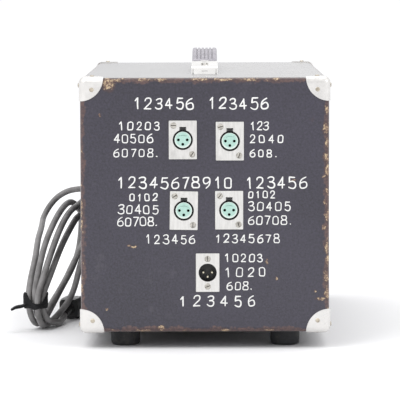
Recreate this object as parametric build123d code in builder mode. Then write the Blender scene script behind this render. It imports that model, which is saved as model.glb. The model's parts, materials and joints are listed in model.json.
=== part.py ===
from build123d import *
import math
import os

# A five-unit rack compressor in a covered plywood carrying case with its own connector end.
# Frame: origin on the floor under the middle of the case, +Z up, -Y the connector end,
# +X the control panel, -X the back where the mains lead leaves. Millimetres.

os.makedirs("parts", exist_ok=True)

# ---------------------------------------------------------------- driving dimensions
CASE_L = 516.0      # along Y
CASE_W = 246.0      # along X
CASE_H = 252.0      # along Z
FOOT_H = 17.0
WALL = 12.0         # plywood
EDGE_R = 5.0
Z0 = FOOT_H
Z1 = FOOT_H + CASE_H
ZC = (Z0 + Z1) / 2
HX, HY = CASE_W / 2, CASE_L / 2
IY = HY - WALL      # inside half length
ZI0, ZI1 = Z0 + WALL, Z1 - WALL

CORNER_R = 23.0     # corner protector, measured from the corner
CORNER_T = 1.2
CORNER_PIN = 11.6
RIVET_SHANK = 1.2
RIVET_HEAD = 2.2

FOOT_INSET = 43.0
FOOT_R = 14.7

PANEL_X = 87.0      # outer face of the control panel
PANEL_T = 3.0
PANEL_L = 482.6
PANEL_H = 221.5
SLOT_DY, SLOT_DZ = 465.1, 146.05
RAIL_T = 2.5

TRAY_X0, TRAY_X1 = -86.0, PANEL_X - PANEL_T
TRAY_Y = 215.0
TRAY_Z0, TRAY_Z1 = 43.0, 241.5
TRAY_T = 1.5

BACK_X = -115.0     # outer face of the back panel, set in from the rim
BACK_T = 6.0
CLEAT = 12.0

# connectors: (x, z, turn about Y in degrees)
FEMALE = [(-21.6, 207.8, 0.0), (24.8, 206.5, 0.0), (-20.8, 137.9, 0.9), (24.0, 138.2, 0.0)]
MALE = (2.6, 76.3, 0.0)
FL_W, FL_H, FL_T = 27.6, 38.1, 1.6
ML_W = 23.2
SOCK_R = 9.98
INSERT_R = 8.1
BARREL_R = 12.0
BOARD_HOLE_R = 12.8
SCREW_DX, SCREW_DZ = 9.2, 14.2
MSCREW_DZ = 13.7
MWELL_R = 8.4
PIN_CIRCLE = 4.35

# controls on the panel: (y, z)
KNOBS = {
    "input_knob": (-170.0, 90.0),
    "threshold_knob": (-102.0, 90.0),
    "ratio_knob": (-34.0, 90.0),
    "attack_knob": (34.0, 90.0),
    "release_knob": (102.0, 90.0),
    "output_knob": (170.0, 90.0),
}
TOGGLES = {"bypass_lever": (48.0, 193.0), "meter_lever": (84.0, 193.0), "mains_lever": (186.0, 193.0)}
METERS = {"reduction_needle": (-142.0, 190.0), "output_needle": (-40.0, 190.0)}
FUSE = (120.0, 193.0)
LAMP = (153.0, 193.0)
PANEL_HANDLE_Y, PANEL_HANDLE_DZ, PANEL_HANDLE_OUT = 219.5, 60.0, 20.0

# carrying handle on the top
CAP_L, CAP_W, CAP_H = 31.0, 26.8, 7.6
CAP_Y = 146.0       # outer end of each end cap from the middle
STRAP_W = 25.6
STRAP_T = 6.4
STRAP_RISE = 23.0

# mains lead
GLAND_Y, GLAND_Z = 180.0, 128.6
LEAD_R = 3.3



def save(part, name):
    part.label = name
    export_step(part, f"parts/{name}.step")


# ---------------------------------------------------------------- case blank and boards
with BuildPart() as case_blank:
    with Locations((0, 0, ZC)):
        Box(CASE_W, CASE_L, CASE_H)
    fillet(case_blank.edges(), EDGE_R)

with BuildPart() as case_shell:
    add(case_blank.part)
    with Locations((0, 0, ZC)):
        Box(CASE_W + 10, 2 * IY, ZI1 - ZI0, mode=Mode.SUBTRACT)

# where the corner rivets go: on the end faces, on the top and bottom, and on the open rims
RIVETS = []
for sx in (-1, 1):
    for sy in (-1, 1):
        for sz in (-1, 1):
            zc = Z1 if sz > 0 else Z0
            RIVETS.append(((sx * (HX - CORNER_PIN), sy * (HY + CORNER_T), zc - sz * CORNER_PIN), (0, sy, 0)))
            RIVETS.append(((sx * (HX - CORNER_PIN), sy * (HY - CORNER_PIN - 2.5), zc + sz * CORNER_T), (0, 0, sz)))
            RIVETS.append(((sx * (HX + CORNER_T), sy * (HY - 7.4), zc - sz * 7.4), (sx, 0, 0)))


def board(low, high, name):
    """One board of the case: the shell between two planes, drilled for the corner rivets."""
    with BuildPart() as b:
        add(case_shell.part)
        c = [(low[i] + high[i]) / 2 for i in range(3)]
        with Locations(tuple(c)):
            Box(high[0] - low[0], high[1] - low[1], high[2] - low[2], mode=Mode.INTERSECT)
        for pos, n in RIVETS:
            plane = Plane(origin=pos, z_dir=n)
            at = Vector(*pos) - Vector(*n) * 6
            if all(low[i] - 1 < (at.X, at.Y, at.Z)[i] < high[i] + 1 for i in range(3)):
                with Locations(plane):
                    Cylinder(RIVET_SHANK, 18.4, mode=Mode.SUBTRACT)
    b.part.label = name
    return b


big = 400
connector_end_board = board((-big, -big, -big), (big, -IY, big), "connector_end_board")
plain_end_board = board((-big, IY, -big), (big, big, big), "plain_end_board")
case_top = board((-big, -IY, ZI1), (big, IY, big), "case_top")
case_bottom = board((-big, -IY, -big), (big, IY, ZI0), "case_bottom")

# holes for the connectors in their end board
with BuildPart() as connector_end_done:
    add(connector_end_board.part)
    for x, z, turn in FEMALE:
        with Locations(Plane(origin=(x, -HY, z), x_dir=(1, 0, 0), z_dir=(0, -1, 0))):
            Cylinder(BOARD_HOLE_R, 40, mode=Mode.SUBTRACT)
        t = math.radians(turn)
        with BuildSketch(Plane(origin=(x, -HY - 1, z), x_dir=(math.cos(t), 0, -math.sin(t)), z_dir=(0, -1, 0))):
            with Locations((-SCREW_DX, SCREW_DZ), (SCREW_DX, -SCREW_DZ)):
                Circle(1.45)
        extrude(amount=-11, mode=Mode.SUBTRACT)
    with Locations(Plane(origin=(MALE[0], -HY, MALE[1]), x_dir=(1, 0, 0), z_dir=(0, -1, 0))):
        Cylinder(10.0, 40, mode=Mode.SUBTRACT)
    with BuildSketch(Plane(origin=(MALE[0], -HY - 1, MALE[1]), x_dir=(1, 0, 0), z_dir=(0, -1, 0))):
        with Locations((0, MSCREW_DZ), (0, -MSCREW_DZ)):
            Circle(1.45)
    extrude(amount=-11, mode=Mode.SUBTRACT)
save(connector_end_done.part, "connector_end_board")
save(plain_end_board.part, "plain_end_board")

# feet: screw holes in the bottom
FEET = [(sx * (HX - FOOT_INSET), sy * (HY - FOOT_INSET)) for sx in (-1, 1) for sy in (-1, 1)]
with BuildPart() as case_bottom_done:
    add(case_bottom.part)
    with Locations(*[(x, y, Z0 + 4) for x, y in FEET]):
        Cylinder(2.0, 10, mode=Mode.SUBTRACT)
save(case_bottom_done.part, "case_bottom")

# ---------------------------------------------------------------- carrying handle
SCREW_Y = CAP_Y - CAP_L + 11.0
with BuildPart() as case_top_done:
    add(case_top.part)
    with Locations((0, -SCREW_Y, Z1 - 4), (0, SCREW_Y, Z1 - 4)):
        Cylinder(2.0, 10, mode=Mode.SUBTRACT)
save(case_top_done.part, "case_top")

# end caps: pressed covers, open towards the middle, with a screw through the roof
with BuildPart() as handle_end_caps:
    for s in (-1, 1):
        with BuildSketch(Plane(origin=(-CAP_W / 2, 0, Z1), x_dir=(0, 1, 0), z_dir=(1, 0, 0))) as profile:
            with BuildLine():
                Polyline(
                    (s * CAP_Y, 0), (s * (CAP_Y - 1.2), CAP_H - 1.4), (s * (CAP_Y - 2.6), CAP_H),
                    (s * (CAP_Y - CAP_L), CAP_H + 4.6), (s * (CAP_Y - CAP_L), 0), close=True,
                )
            make_face()
        extrude(amount=CAP_W)
    # hollow for the strap's tongue
    for s in (-1, 1):
        with BuildSketch(Plane(origin=(-CAP_W / 2 + 1.2, 0, Z1), x_dir=(0, 1, 0), z_dir=(1, 0, 0))) as hollow:
            with BuildLine():
                Polyline(
                    (s * (CAP_Y - 3.0), 0), (s * (CAP_Y - 3.6), CAP_H - 1.4),
                    (s * (CAP_Y - CAP_L - 1), CAP_H + 3.3), (s * (CAP_Y - CAP_L - 1), 0), close=True,
                )
            make_face()
        extrude(amount=CAP_W - 2.4, mode=Mode.SUBTRACT)
        # relief notches beside the end flap, and the pressed slot in it
        for sx in (-1, 1):
            with Locations((sx * (CAP_W / 2 - 1.6), s * (CAP_Y - 1.4), Z1 + 2.6)):
                Box(1.3, 3.4, 5.2, mode=Mode.SUBTRACT)
        with Locations((0, s * (CAP_Y - 1.0), Z1 + 2.9)):
            Box(6.0, 1.4, 1.5, mode=Mode.SUBTRACT)
        with Locations((0, s * SCREW_Y, Z1 + 8)):
            Cylinder(2.1, 16, mode=Mode.SUBTRACT)
save(handle_end_caps.part, "handle_end_caps")

# strap: a sprung strip with flat tongues inside the caps and a ribbed, arched grip between them
T_END = CAP_Y - 7.0          # end of the tongue, with room to slide in the cap
with BuildPart() as handle_strap:
    top_pts = [(-118.0, 9.4), (-112, 10.4), (-104, 12.2), (-88, 15.6), (-60, 20.2), (-30, 22.5), (0, STRAP_RISE),
               (30, 22.5), (60, 20.2), (88, 15.6), (104, 12.2), (112, 10.4), (118.0, 9.4)]
    low_pts = [(112.0, 4.1), (100, 6.6), (86, 9.4), (60, 13.7), (30, 16.2), (0, STRAP_RISE - STRAP_T),
               (-30, 16.2), (-60, 13.7), (-86, 9.4), (-100, 6.6), (-112.0, 4.1)]
    with BuildSketch(Plane(origin=(-STRAP_W / 2, 0, Z1), x_dir=(0, 1, 0), z_dir=(1, 0, 0))) as side:
        with BuildLine():
            a = Spline(*[(y, z) for y, z in top_pts[2:-2]])
            b = Spline(*[(y, z) for y, z in low_pts[1:-1]])
            Line(a @ 1, b @ 0)
            Line(b @ 1, a @ 0)
        make_face()
    extrude(amount=STRAP_W)
    # rounded long edges
    longs = handle_strap.edges().filter_by(lambda e: e.length > 150)
    fillet(longs, 2.2)
    # five grooves make six ribs along the top
    for gx in (-7.8, -3.9, 0.0, 3.9, 7.8):
        with BuildSketch(Plane(origin=(gx - 0.75, 0, Z1), x_dir=(0, 1, 0), z_dir=(1, 0, 0))) as groove:
            with BuildLine():
                g1 = Spline(*[(y, z + 0.6) for y, z in [(-96, 13.9), (-88, 15.6), (-60, 20.2), (-30, 22.5), (0, STRAP_RISE), (30, 22.5), (60, 20.2), (88, 15.6), (96, 13.9)]])
                g2 = Spline(*[(y, z - 1.3) for y, z in [(96, 13.9), (88, 15.6), (60, 20.2), (30, 22.5), (0, STRAP_RISE), (-30, 22.5), (-60, 20.2), (-88, 15.6), (-96, 13.9)]])
                Line(g1 @ 1, g2 @ 0)
                Line(g2 @ 1, g1 @ 0)
            make_face()
        extrude(amount=1.5, mode=Mode.SUBTRACT)
    # neck and tongue at each end, thin enough to slide in the cap, with a slot around the cap's screw
    for s in (-1, 1):
        with BuildSketch(Plane(origin=(-10.8, 0, Z1), x_dir=(0, 1, 0), z_dir=(1, 0, 0))) as tongue:
            with BuildLine():
                Polyline(
                    (s * 98.0, 8.2), (s * 98.0, 12.0), (s * 106.0, 10.4), (s * 114.0, 7.0), (s * 122.0, 3.6),
                    (s * T_END, 3.6), (s * T_END, 1.6), (s * 121.0, 1.6), (s * 113.0, 4.8), (s * 105.0, 7.0), close=True,
                )
            make_face()
        extrude(amount=21.6)
        with BuildSketch(Plane.XY.offset(Z1)) as slot:
            with Locations((0, s * SCREW_Y)):
                SlotCenterToCenter(9.0, 5.0, rotation=90)
        extrude(amount=12, mode=Mode.SUBTRACT)
save(handle_strap.part, "handle_strap")

with BuildPart() as handle_screws:
    for s in (-1, 1):
        roof = CAP_H + (CAP_Y - 2.6 - SCREW_Y) * (4.6 / (CAP_L - 2.6)) + 0.45
        with BuildSketch(Plane.XY.offset(Z1 - 9)) as shank:
            with Locations((0, s * SCREW_Y)):
                Circle(2.0)
        extrude(amount=9 + roof + 1.2)
        with BuildSketch(Plane.XY.offset(Z1 + roof + 0.35)) as head:
            with Locations((0, s * SCREW_Y)):
                Circle(4.0)
        extrude(amount=2.0)
        with Locations((0, s * SCREW_Y, Z1 + roof + 2.35)):
            Box(8.5, 0.9, 1.4, mode=Mode.SUBTRACT)
save(handle_screws.part, "handle_screws")

# ---------------------------------------------------------------- corner protectors and their rivets
with BuildPart() as corner_outer:
    with Locations((0, 0, ZC)):
        Box(CASE_W + 2 * CORNER_T, CASE_L + 2 * CORNER_T, CASE_H + 2 * CORNER_T)
    fillet(corner_outer.edges(), EDGE_R + CORNER_T)
with BuildPart() as corner_balls:
    with Locations(*[(sx * HX, sy * HY, ZC + sz * CASE_H / 2) for sx in (-1, 1) for sy in (-1, 1) for sz in (-1, 1)]):
        Sphere(CORNER_R)
with BuildPart() as corner_protectors:
    add(corner_outer.part)
    add(case_blank.part, mode=Mode.SUBTRACT)
    add(corner_balls.part, mode=Mode.INTERSECT)
    with Locations((0, 0, ZC)):
        Box(CASE_W + 20, 2 * IY, ZI1 - ZI0, mode=Mode.SUBTRACT)
    for pos, n in RIVETS:
        with Locations(Plane(origin=pos, z_dir=n)):
            Cylinder(RIVET_SHANK, 8, mode=Mode.SUBTRACT)
save(corner_protectors.part, "corner_protectors")

with BuildPart() as corner_rivets:
    for pos, n in RIVETS:
        plane = Plane(origin=pos, z_dir=n)
        with BuildSketch(plane) as r_head:
            Circle(RIVET_HEAD)
        extrude(amount=0.55)
        with BuildSketch(plane.offset(0.55)) as r_dome:
            Circle(RIVET_HEAD)
        extrude(amount=0.5, taper=52)
        with BuildSketch(plane) as r_shank:
            Circle(RIVET_SHANK)
        extrude(amount=-9)
save(corner_rivets.part, "corner_rivets")

# ---------------------------------------------------------------- feet
with BuildPart() as rubber_feet:
    for x, y in FEET:
        with BuildSketch(Plane(origin=(x, y, 0), x_dir=(1, 0, 0), z_dir=(0, -1, 0))) as foot_profile:
            with BuildLine():
                Polyline(
                    (2.2, FOOT_H), (FOOT_R, FOOT_H), (FOOT_R, 5.5), (FOOT_R - 0.5, 2.2), (FOOT_R - 1.6, 0.6), (FOOT_R - 3.2, 0),
                    (6.4, 0), (5.6, 6.0), (5.4, 9.0), (2.2, 9.0), close=True,
                )
            make_face()
        revolve(axis=Axis((x, y, 0), (0, 0, 1)))
save(rubber_feet.part, "rubber_feet")
with BuildPart() as foot_screws:
    for x, y in FEET:
        with BuildSketch(Plane(origin=(x, y, 0), x_dir=(1, 0, 0), z_dir=(0, -1, 0))) as fs_profile:
            with BuildLine():
                Polyline((0, 6.2), (2.4, 6.5), (3.8, 7.4), (4.9, 8.2), (4.9, 9.0), (2.0, 9.0), (2.0, Z0 + 9.0), (0, Z0 + 9.0), close=True)
            make_face()
        revolve(axis=Axis((x, y, 0), (0, 0, 1)))
        with Locations((x, y, 6.6)):
            Box(7.0, 0.9, 1.2, mode=Mode.SUBTRACT)
save(foot_screws.part, "foot_screws")

# ---------------------------------------------------------------- connectors
OUT = -HY - FL_T            # outer face of the flanges


def face_plane(x, z, y, turn=0.0):
    """A plane facing out of the connector end, its x to the right and y up as seen from outside, turned clockwise."""
    t = math.radians(turn)
    return Plane(origin=(x, y, z), x_dir=(math.cos(t), 0, -math.sin(t)), z_dir=(0, -1, 0))


with BuildPart() as female_socket_shells:
    for x, z, turn in FEMALE:
        with BuildSketch(face_plane(x, z, -HY, turn)) as flange:
            RectangleRounded(FL_W, FL_H, 0.7)
        extrude(amount=FL_T)
        with BuildSketch(face_plane(x, z, -HY, turn)) as barrel:
            Circle(BARREL_R)
        extrude(amount=-25)
    for x, z, turn in FEMALE:
        with BuildSketch(face_plane(x, z, OUT - 1, turn)) as bore:
            Circle(SOCK_R)
        extrude(amount=-40, mode=Mode.SUBTRACT)
        # window for the latch tab
        with BuildSketch(face_plane(x, z, OUT - 1, turn)) as window:
            with Locations((0, 11.1)):
                Rectangle(6.7, 3.4)
        extrude(amount=-9, mode=Mode.SUBTRACT)
        with BuildSketch(face_plane(x, z, OUT - 1, turn)) as screw_holes:
            with Locations((-SCREW_DX, SCREW_DZ), (SCREW_DX, -SCREW_DZ)):
                Circle(1.6)
        extrude(amount=-4, mode=Mode.SUBTRACT)
save(female_socket_shells.part, "female_socket_shells")

with BuildPart() as female_socket_inserts:
    for x, z, turn in FEMALE:
        with BuildSketch(face_plane(x, z, -HY + 25, turn)) as base:
            Circle(SOCK_R)
        extrude(amount=6)
        with BuildSketch(face_plane(x, z, -HY + 22, turn)) as nose:
            Circle(INSERT_R)
        extrude(amount=22 + FL_T - 0.5)
    for x, z, turn in FEMALE:
        # contact holes right through, and the shallow arched key recess above them
        with BuildSketch(face_plane(x, z, OUT - 1, turn)) as contacts:
            with Locations((-PIN_CIRCLE, 0), (PIN_CIRCLE, 0), (0, -PIN_CIRCLE)):
                Circle(1.4)
        extrude(amount=-40, mode=Mode.SUBTRACT)
        with BuildSketch(face_plane(x, z, OUT + 0.5, turn)) as key:
            with BuildLine():
                e1 = ThreePointArc((-3.9, 3.6), (0, 4.3), (3.9, 3.6))
                e2 = ThreePointArc((3.6, 4.1), (0, 4.75), (-3.6, 4.1))
                Line(e1 @ 1, e2 @ 0)
                Line(e2 @ 1, e1 @ 0)
            make_face()
        extrude(amount=-0.7, mode=Mode.SUBTRACT)
save(female_socket_inserts.part, "female_socket_inserts")

with BuildPart() as female_socket_seals:
    for x, z, turn in FEMALE:
        with BuildSketch(face_plane(x, z, -HY + 19, turn)) as seal:
            Circle(SOCK_R)
            Circle(SOCK_R - 0.75, mode=Mode.SUBTRACT)
        extrude(amount=19 + FL_T - 0.25)
        with BuildSketch(face_plane(x, z, -HY + 19, turn)) as seal_pad:
            Circle(SOCK_R - 0.7)
            Circle(INSERT_R, mode=Mode.SUBTRACT)
        extrude(amount=3.0)
        with BuildSketch(face_plane(x, z, OUT - 1, turn)) as seal_window:
            with Locations((0, 11.1)):
                Rectangle(6.7, 3.4)
        extrude(amount=-9, mode=Mode.SUBTRACT)
save(female_socket_seals.part, "female_socket_seals")

with BuildPart() as female_socket_contacts:
    for x, z, turn in FEMALE:
        with BuildSketch(face_plane(x, z, -HY + 2.2, turn)) as cups:
            with Locations((-PIN_CIRCLE, 0), (PIN_CIRCLE, 0), (0, -PIN_CIRCLE)):
                Circle(1.4)
        extrude(amount=-26.8)
        with BuildSketch(face_plane(x, z, -HY + 2.1, turn)) as cup_holes:
            with Locations((-PIN_CIRCLE, 0), (PIN_CIRCLE, 0), (0, -PIN_CIRCLE)):
                Circle(1.15)
        extrude(amount=-16, mode=Mode.SUBTRACT)
save(female_socket_contacts.part, "female_socket_contacts")

LATCHES = ["latch_upper_left", "latch_upper_right", "latch_lower_left", "latch_lower_right"]
for (x, z, turn), name in zip(FEMALE, LATCHES):
    with BuildPart() as latch_tab:
        with BuildSketch(face_plane(x, z, OUT - 0.9, turn)) as tab:
            with BuildLine():
                Polyline((-2.2, 10.1), (2.2, 10.1), (2.6, 11.2), (3.1, 12.4), (1.5, 12.0), (-1.5, 12.0), (-3.1, 12.4), (-2.6, 11.2), close=True)
            make_face()
        extrude(amount=-4.4)
    save(latch_tab.part, name)

with BuildPart() as male_socket_shell:
    mx, mz, mt = MALE
    with BuildSketch(face_plane(mx, mz, -HY, mt)) as m_flange:
        RectangleRounded(ML_W, FL_H, 0.6)
    extrude(amount=FL_T)
    with BuildSketch(face_plane(mx, mz, -HY, mt)) as m_barrel:
        Circle(9.9)
    extrude(amount=-22)
    with BuildSketch(face_plane(mx, mz, OUT - 1, mt)) as m_bore:
        Circle(9.0)
    extrude(amount=-40, mode=Mode.SUBTRACT)
    with BuildSketch(face_plane(mx, mz, OUT - 1, mt)) as m_holes:
        with Locations((0, MSCREW_DZ), (0, -MSCREW_DZ)):
            Circle(1.6)
    extrude(amount=-4, mode=Mode.SUBTRACT)
save(male_socket_shell.part, "male_socket_shell")

with BuildPart() as male_socket_insert:
    with BuildSketch(face_plane(mx, mz, -HY + 22, mt)) as m_base:
        Circle(9.0)
    extrude(amount=22 + FL_T - 0.3)
    with BuildSketch(face_plane(mx, mz, OUT - 1, mt)) as m_well:
        Circle(MWELL_R)
    extrude(amount=-14, mode=Mode.SUBTRACT)
    # key rib at the top of the well
    with BuildSketch(face_plane(mx, mz, -HY + 12, mt)) as m_key:
        with Locations((0, MWELL_R - 0.2)):
            Rectangle(2.2, 1.4)
    extrude(amount=9)
    with BuildSketch(face_plane(mx, mz, OUT - 1, mt)) as m_pins_holes:
        with Locations((-PIN_CIRCLE, 0), (PIN_CIRCLE, 0), (0, -PIN_CIRCLE)):
            Circle(1.2)
    extrude(amount=-40, mode=Mode.SUBTRACT)
save(male_socket_insert.part, "male_socket_insert")

with BuildPart() as male_socket_pins:
    with BuildSketch(face_plane(mx, mz, -HY + 26, mt)) as m_pins:
        with Locations((-PIN_CIRCLE, 0), (PIN_CIRCLE, 0), (0, -PIN_CIRCLE)):
            Circle(1.2)
    extrude(amount=26)
    chamfer(male_socket_pins.faces().filter_by(Axis.Y).group_by(Axis.Y)[0].edges(), 0.5)
save(male_socket_pins.part, "male_socket_pins")

with BuildPart() as socket_screws:
    spots = []
    for i, (x, z, turn) in enumerate(FEMALE):
        c, s_ = math.cos(math.radians(turn)), math.sin(math.radians(turn))
        for j, (dx, dz) in enumerate([(-SCREW_DX, SCREW_DZ), (SCREW_DX, -SCREW_DZ)]):
            spots.append((x + dx * c + dz * s_, z - dx * s_ + dz * c, 17 * i + 55 * j))
    spots += [(mx, mz + MSCREW_DZ, 95), (mx, mz - MSCREW_DZ, 18)]
    for x, z, slot_turn in spots:
        with BuildSketch(face_plane(x, z, OUT)) as s_head:
            Circle(3.05)
        extrude(amount=0.7)
        with BuildSketch(face_plane(x, z, OUT - 0.7)) as s_dome:
            Circle(3.05)
        extrude(amount=0.55, taper=48)
        with BuildSketch(face_plane(x, z, OUT)) as s_shank:
            Circle(1.45)
        extrude(amount=-FL_T - 9.5)
        with BuildSketch(face_plane(x, z, OUT - 1.4)) as s_slot:
            Rectangle(6.4, 0.8, rotation=slot_turn)
        extrude(amount=-0.85, mode=Mode.SUBTRACT)
save(socket_screws.part, "socket_screws")

# ---------------------------------------------------------------- back panel, cleats, wood screws
VENT_Z = [200.0 + 7.0 * i for i in range(5)]
BACK_SCREWS = [(y, z) for y in (-240.0, 240.0) for z in (60.0, 143.0, 226.0)] + [(y, z) for y in (-120.0, 0.0, 120.0) for z in (35.0, 251.0)]
BACK_OUT = Plane(origin=(BACK_X, 0, 0), x_dir=(0, -1, 0), z_dir=(-1, 0, 0))
with BuildPart() as back_panel:
    with Locations((BACK_X + BACK_T / 2, 0, ZC)):
        Box(BACK_T, 2 * IY - 1.6, ZI1 - ZI0 - 1.6)
    with BuildSketch(BACK_OUT.offset(1)) as vents:
        with Locations(*[(sx * 95.0, z) for sx in (-1, 1) for z in VENT_Z]):
            SlotOverall(110, 3.4)
        with Locations((-GLAND_Y, GLAND_Z)):
            Circle(7.0)
    extrude(amount=-12, mode=Mode.SUBTRACT)
    for y, z in BACK_SCREWS:
        with BuildSketch(BACK_OUT.offset(1)) as bs:
            with Locations((-y, z)):
                Circle(1.75)
        extrude(amount=-12, mode=Mode.SUBTRACT)
        with BuildSketch(BACK_OUT) as bsk:
            with Locations((-y, z)):
                Circle(3.6)
        extrude(amount=-1.9, taper=45, mode=Mode.SUBTRACT)
save(back_panel.part, "back_panel")

CLEAT_X0 = BACK_X + BACK_T
with BuildPart() as back_cleats:
    with Locations(*[(CLEAT_X0 + CLEAT / 2, s * (IY - CLEAT / 2), ZC) for s in (-1, 1)]):
        Box(CLEAT, CLEAT, ZI1 - ZI0)
    with Locations((CLEAT_X0 + CLEAT / 2, 0, ZI0 + CLEAT / 2), (CLEAT_X0 + CLEAT / 2, 0, ZI1 - CLEAT / 2)):
        Box(CLEAT, 2 * (IY - CLEAT) - 0.4, CLEAT)
    for y, z in BACK_SCREWS:
        with BuildSketch(Plane(origin=(CLEAT_X0 - 1, 0, 0), x_dir=(0, 1, 0), z_dir=(1, 0, 0))) as ch:
            with Locations((y, z)):
                Circle(1.75)
        extrude(amount=9, mode=Mode.SUBTRACT)
save(back_cleats.part, "back_cleats")

# rack rails: steel angle, screwed to the end boards
RAIL_X1 = TRAY_X1
RAIL_Z0, RAIL_Z1 = ZI0 + 3, ZI1 - 3
RAIL_SCREWS = [(s, z) for s in (-1, 1) for z in (55.0, 143.0, 231.0)]
with BuildPart() as rack_rails:
    for s in (-1, 1):
        with Locations((RAIL_X1 - RAIL_T / 2, s * (IY - 11.0), ZC)):
            Box(RAIL_T, 22.0, RAIL_Z1 - RAIL_Z0)
        with Locations((RAIL_X1 - 12.5, s * (IY - RAIL_T / 2), ZC)):
            Box(25.0, RAIL_T, RAIL_Z1 - RAIL_Z0)
        with BuildSketch(Plane(origin=(RAIL_X1 + 1, 0, 0), x_dir=(0, 1, 0), z_dir=(1, 0, 0))) as rh:
            with Locations(*[(s * SLOT_DY / 2, ZC + k * SLOT_DZ / 2) for k in (-1, 1)]):
                Circle(2.95)
        extrude(amount=-6, mode=Mode.SUBTRACT)
    for s, z in RAIL_SCREWS:
        with Locations(Plane(origin=(RAIL_X1 - 15, s * IY, z), z_dir=(0, s, 0))):
            Cylinder(1.75, 8, mode=Mode.SUBTRACT)
save(rack_rails.part, "rack_rails")

# the end boards take the rail screws
for s, src, name in ((-1, connector_end_done, "connector_end_board"), (1, plain_end_board, "plain_end_board")):
    with BuildPart() as end_drilled:
        add(src.part)
        for s2, z in RAIL_SCREWS:
            if s2 == s:
                with Locations(Plane(origin=(RAIL_X1 - 15, s * IY, z), z_dir=(0, s, 0))):
                    Cylinder(1.75, 16, mode=Mode.SUBTRACT)
    save(end_drilled.part, name)

with BuildPart() as wood_screws:
    for y, z in BACK_SCREWS:
        with BuildSketch(BACK_OUT) as w_head:
            with Locations((-y, z)):
                Circle(3.5)
        extrude(amount=-1.8, taper=45)
        with BuildSketch(BACK_OUT.offset(-1.0)) as w_shank:
            with Locations((-y, z)):
                Circle(1.7)
        extrude(amount=-12.5)
        with BuildSketch(BACK_OUT.offset(0.2)) as w_slot:
            with Locations((-y, z)):
                Rectangle(7.2, 0.8, rotation=(y * 7 + z * 3) % 180)
        extrude(amount=-1.0, mode=Mode.SUBTRACT)
    for s, z in RAIL_SCREWS:
        pl = Plane(origin=(RAIL_X1 - 15, s * (IY - RAIL_T), z), z_dir=(0, -s, 0))
        with BuildSketch(pl) as r_h:
            Circle(3.5)
        extrude(amount=2.0, taper=20)
        with BuildSketch(pl) as r_s:
            Circle(1.7)
        extrude(amount=-10)
save(wood_screws.part, "wood_screws")

# ---------------------------------------------------------------- control panel
PANEL_OUT = Plane(origin=(PANEL_X, 0, 0), x_dir=(0, 1, 0), z_dir=(1, 0, 0))
with BuildPart() as front_panel:
    with Locations((PANEL_X - PANEL_T / 2, 0, ZC)):
        Box(PANEL_T, PANEL_L, PANEL_H)
    fillet(front_panel.edges().filter_by(Axis.X), 2.0)
    with BuildSketch(PANEL_OUT.offset(1)) as cuts:
        with Locations(*[(sy * SLOT_DY / 2, ZC + sz * SLOT_DZ / 2) for sy in (-1, 1) for sz in (-1, 1)]):
            SlotOverall(10.0, 6.8)
        with Locations(*[(y, z) for y, z in KNOBS.values()]):
            Circle(4.85)
        with Locations(*[(y, z) for y, z in TOGGLES.values()]):
            Circle(6.0)
        with Locations(*[(y, z) for y, z in METERS.values()]):
            Circle(33.0)
        with Locations(FUSE):
            Circle(6.2)
        with Locations(LAMP):
            Circle(5.2)
        with Locations(*[(sy * PANEL_HANDLE_Y, ZC + sz * PANEL_HANDLE_DZ) for sy in (-1, 1) for sz in (-1, 1)]):
            Circle(2.0)
    extrude(amount=-6, mode=Mode.SUBTRACT)
save(front_panel.part, "front_panel")

with BuildPart() as rack_screws:
    for sy in (-1, 1):
        for sz in (-1, 1):
            y, z = sy * SLOT_DY / 2, ZC + sz * SLOT_DZ / 2
            with BuildSketch(PANEL_OUT) as cup:
                with Locations((y, z)):
                    Circle(6.4)
            extrude(amount=1.4, taper=25)
            with BuildSketch(PANEL_OUT) as rs_head:
                with Locations((y, z)):
                    Circle(4.6)
            extrude(amount=3.0, taper=12)
            with BuildSketch(PANEL_OUT) as rs_shank:
                with Locations((y, z)):
                    Circle(2.9)
            extrude(amount=-12)
            with BuildSketch(PANEL_OUT.offset(3.2)) as rs_cross:
                with Locations((y, z)):
                    Rectangle(5.0, 1.1, rotation=20 * sy + 30)
                    Rectangle(1.1, 5.0, rotation=20 * sy + 30)
            extrude(amount=-1.8, mode=Mode.SUBTRACT)
save(rack_screws.part, "rack_screws")

with BuildPart() as panel_handles:
    for sy in (-1, 1):
        y = sy * PANEL_HANDLE_Y
        with BuildLine() as handle_path:
            FilletPolyline(
                (PANEL_X - 2.5, y, ZC - PANEL_HANDLE_DZ), (PANEL_X + PANEL_HANDLE_OUT, y, ZC - PANEL_HANDLE_DZ),
                (PANEL_X + PANEL_HANDLE_OUT, y, ZC + PANEL_HANDLE_DZ), (PANEL_X - 2.5, y, ZC + PANEL_HANDLE_DZ), radius=9.0,
            )
        with BuildSketch(Plane(origin=(PANEL_X - 2.5, y, ZC - PANEL_HANDLE_DZ), z_dir=(1, 0, 0))) as handle_round:
            Circle(4.0)
        sweep(path=handle_path.line)
    # the feet behind the outer face are turned down to the stud size
    with Locations(*[(PANEL_X - 2.5, sy * PANEL_HANDLE_Y, ZC + sz * PANEL_HANDLE_DZ) for sy in (-1, 1) for sz in (-1, 1)]):
        Box(5.0, 12, 12, mode=Mode.SUBTRACT)
    with BuildSketch(PANEL_OUT.offset(-7)) as studs:
        with Locations(*[(sy * PANEL_HANDLE_Y, ZC + sz * PANEL_HANDLE_DZ) for sy in (-1, 1) for sz in (-1, 1)]):
            Circle(1.95)
    extrude(amount=9)
save(panel_handles.part, "panel_handles")

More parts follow.
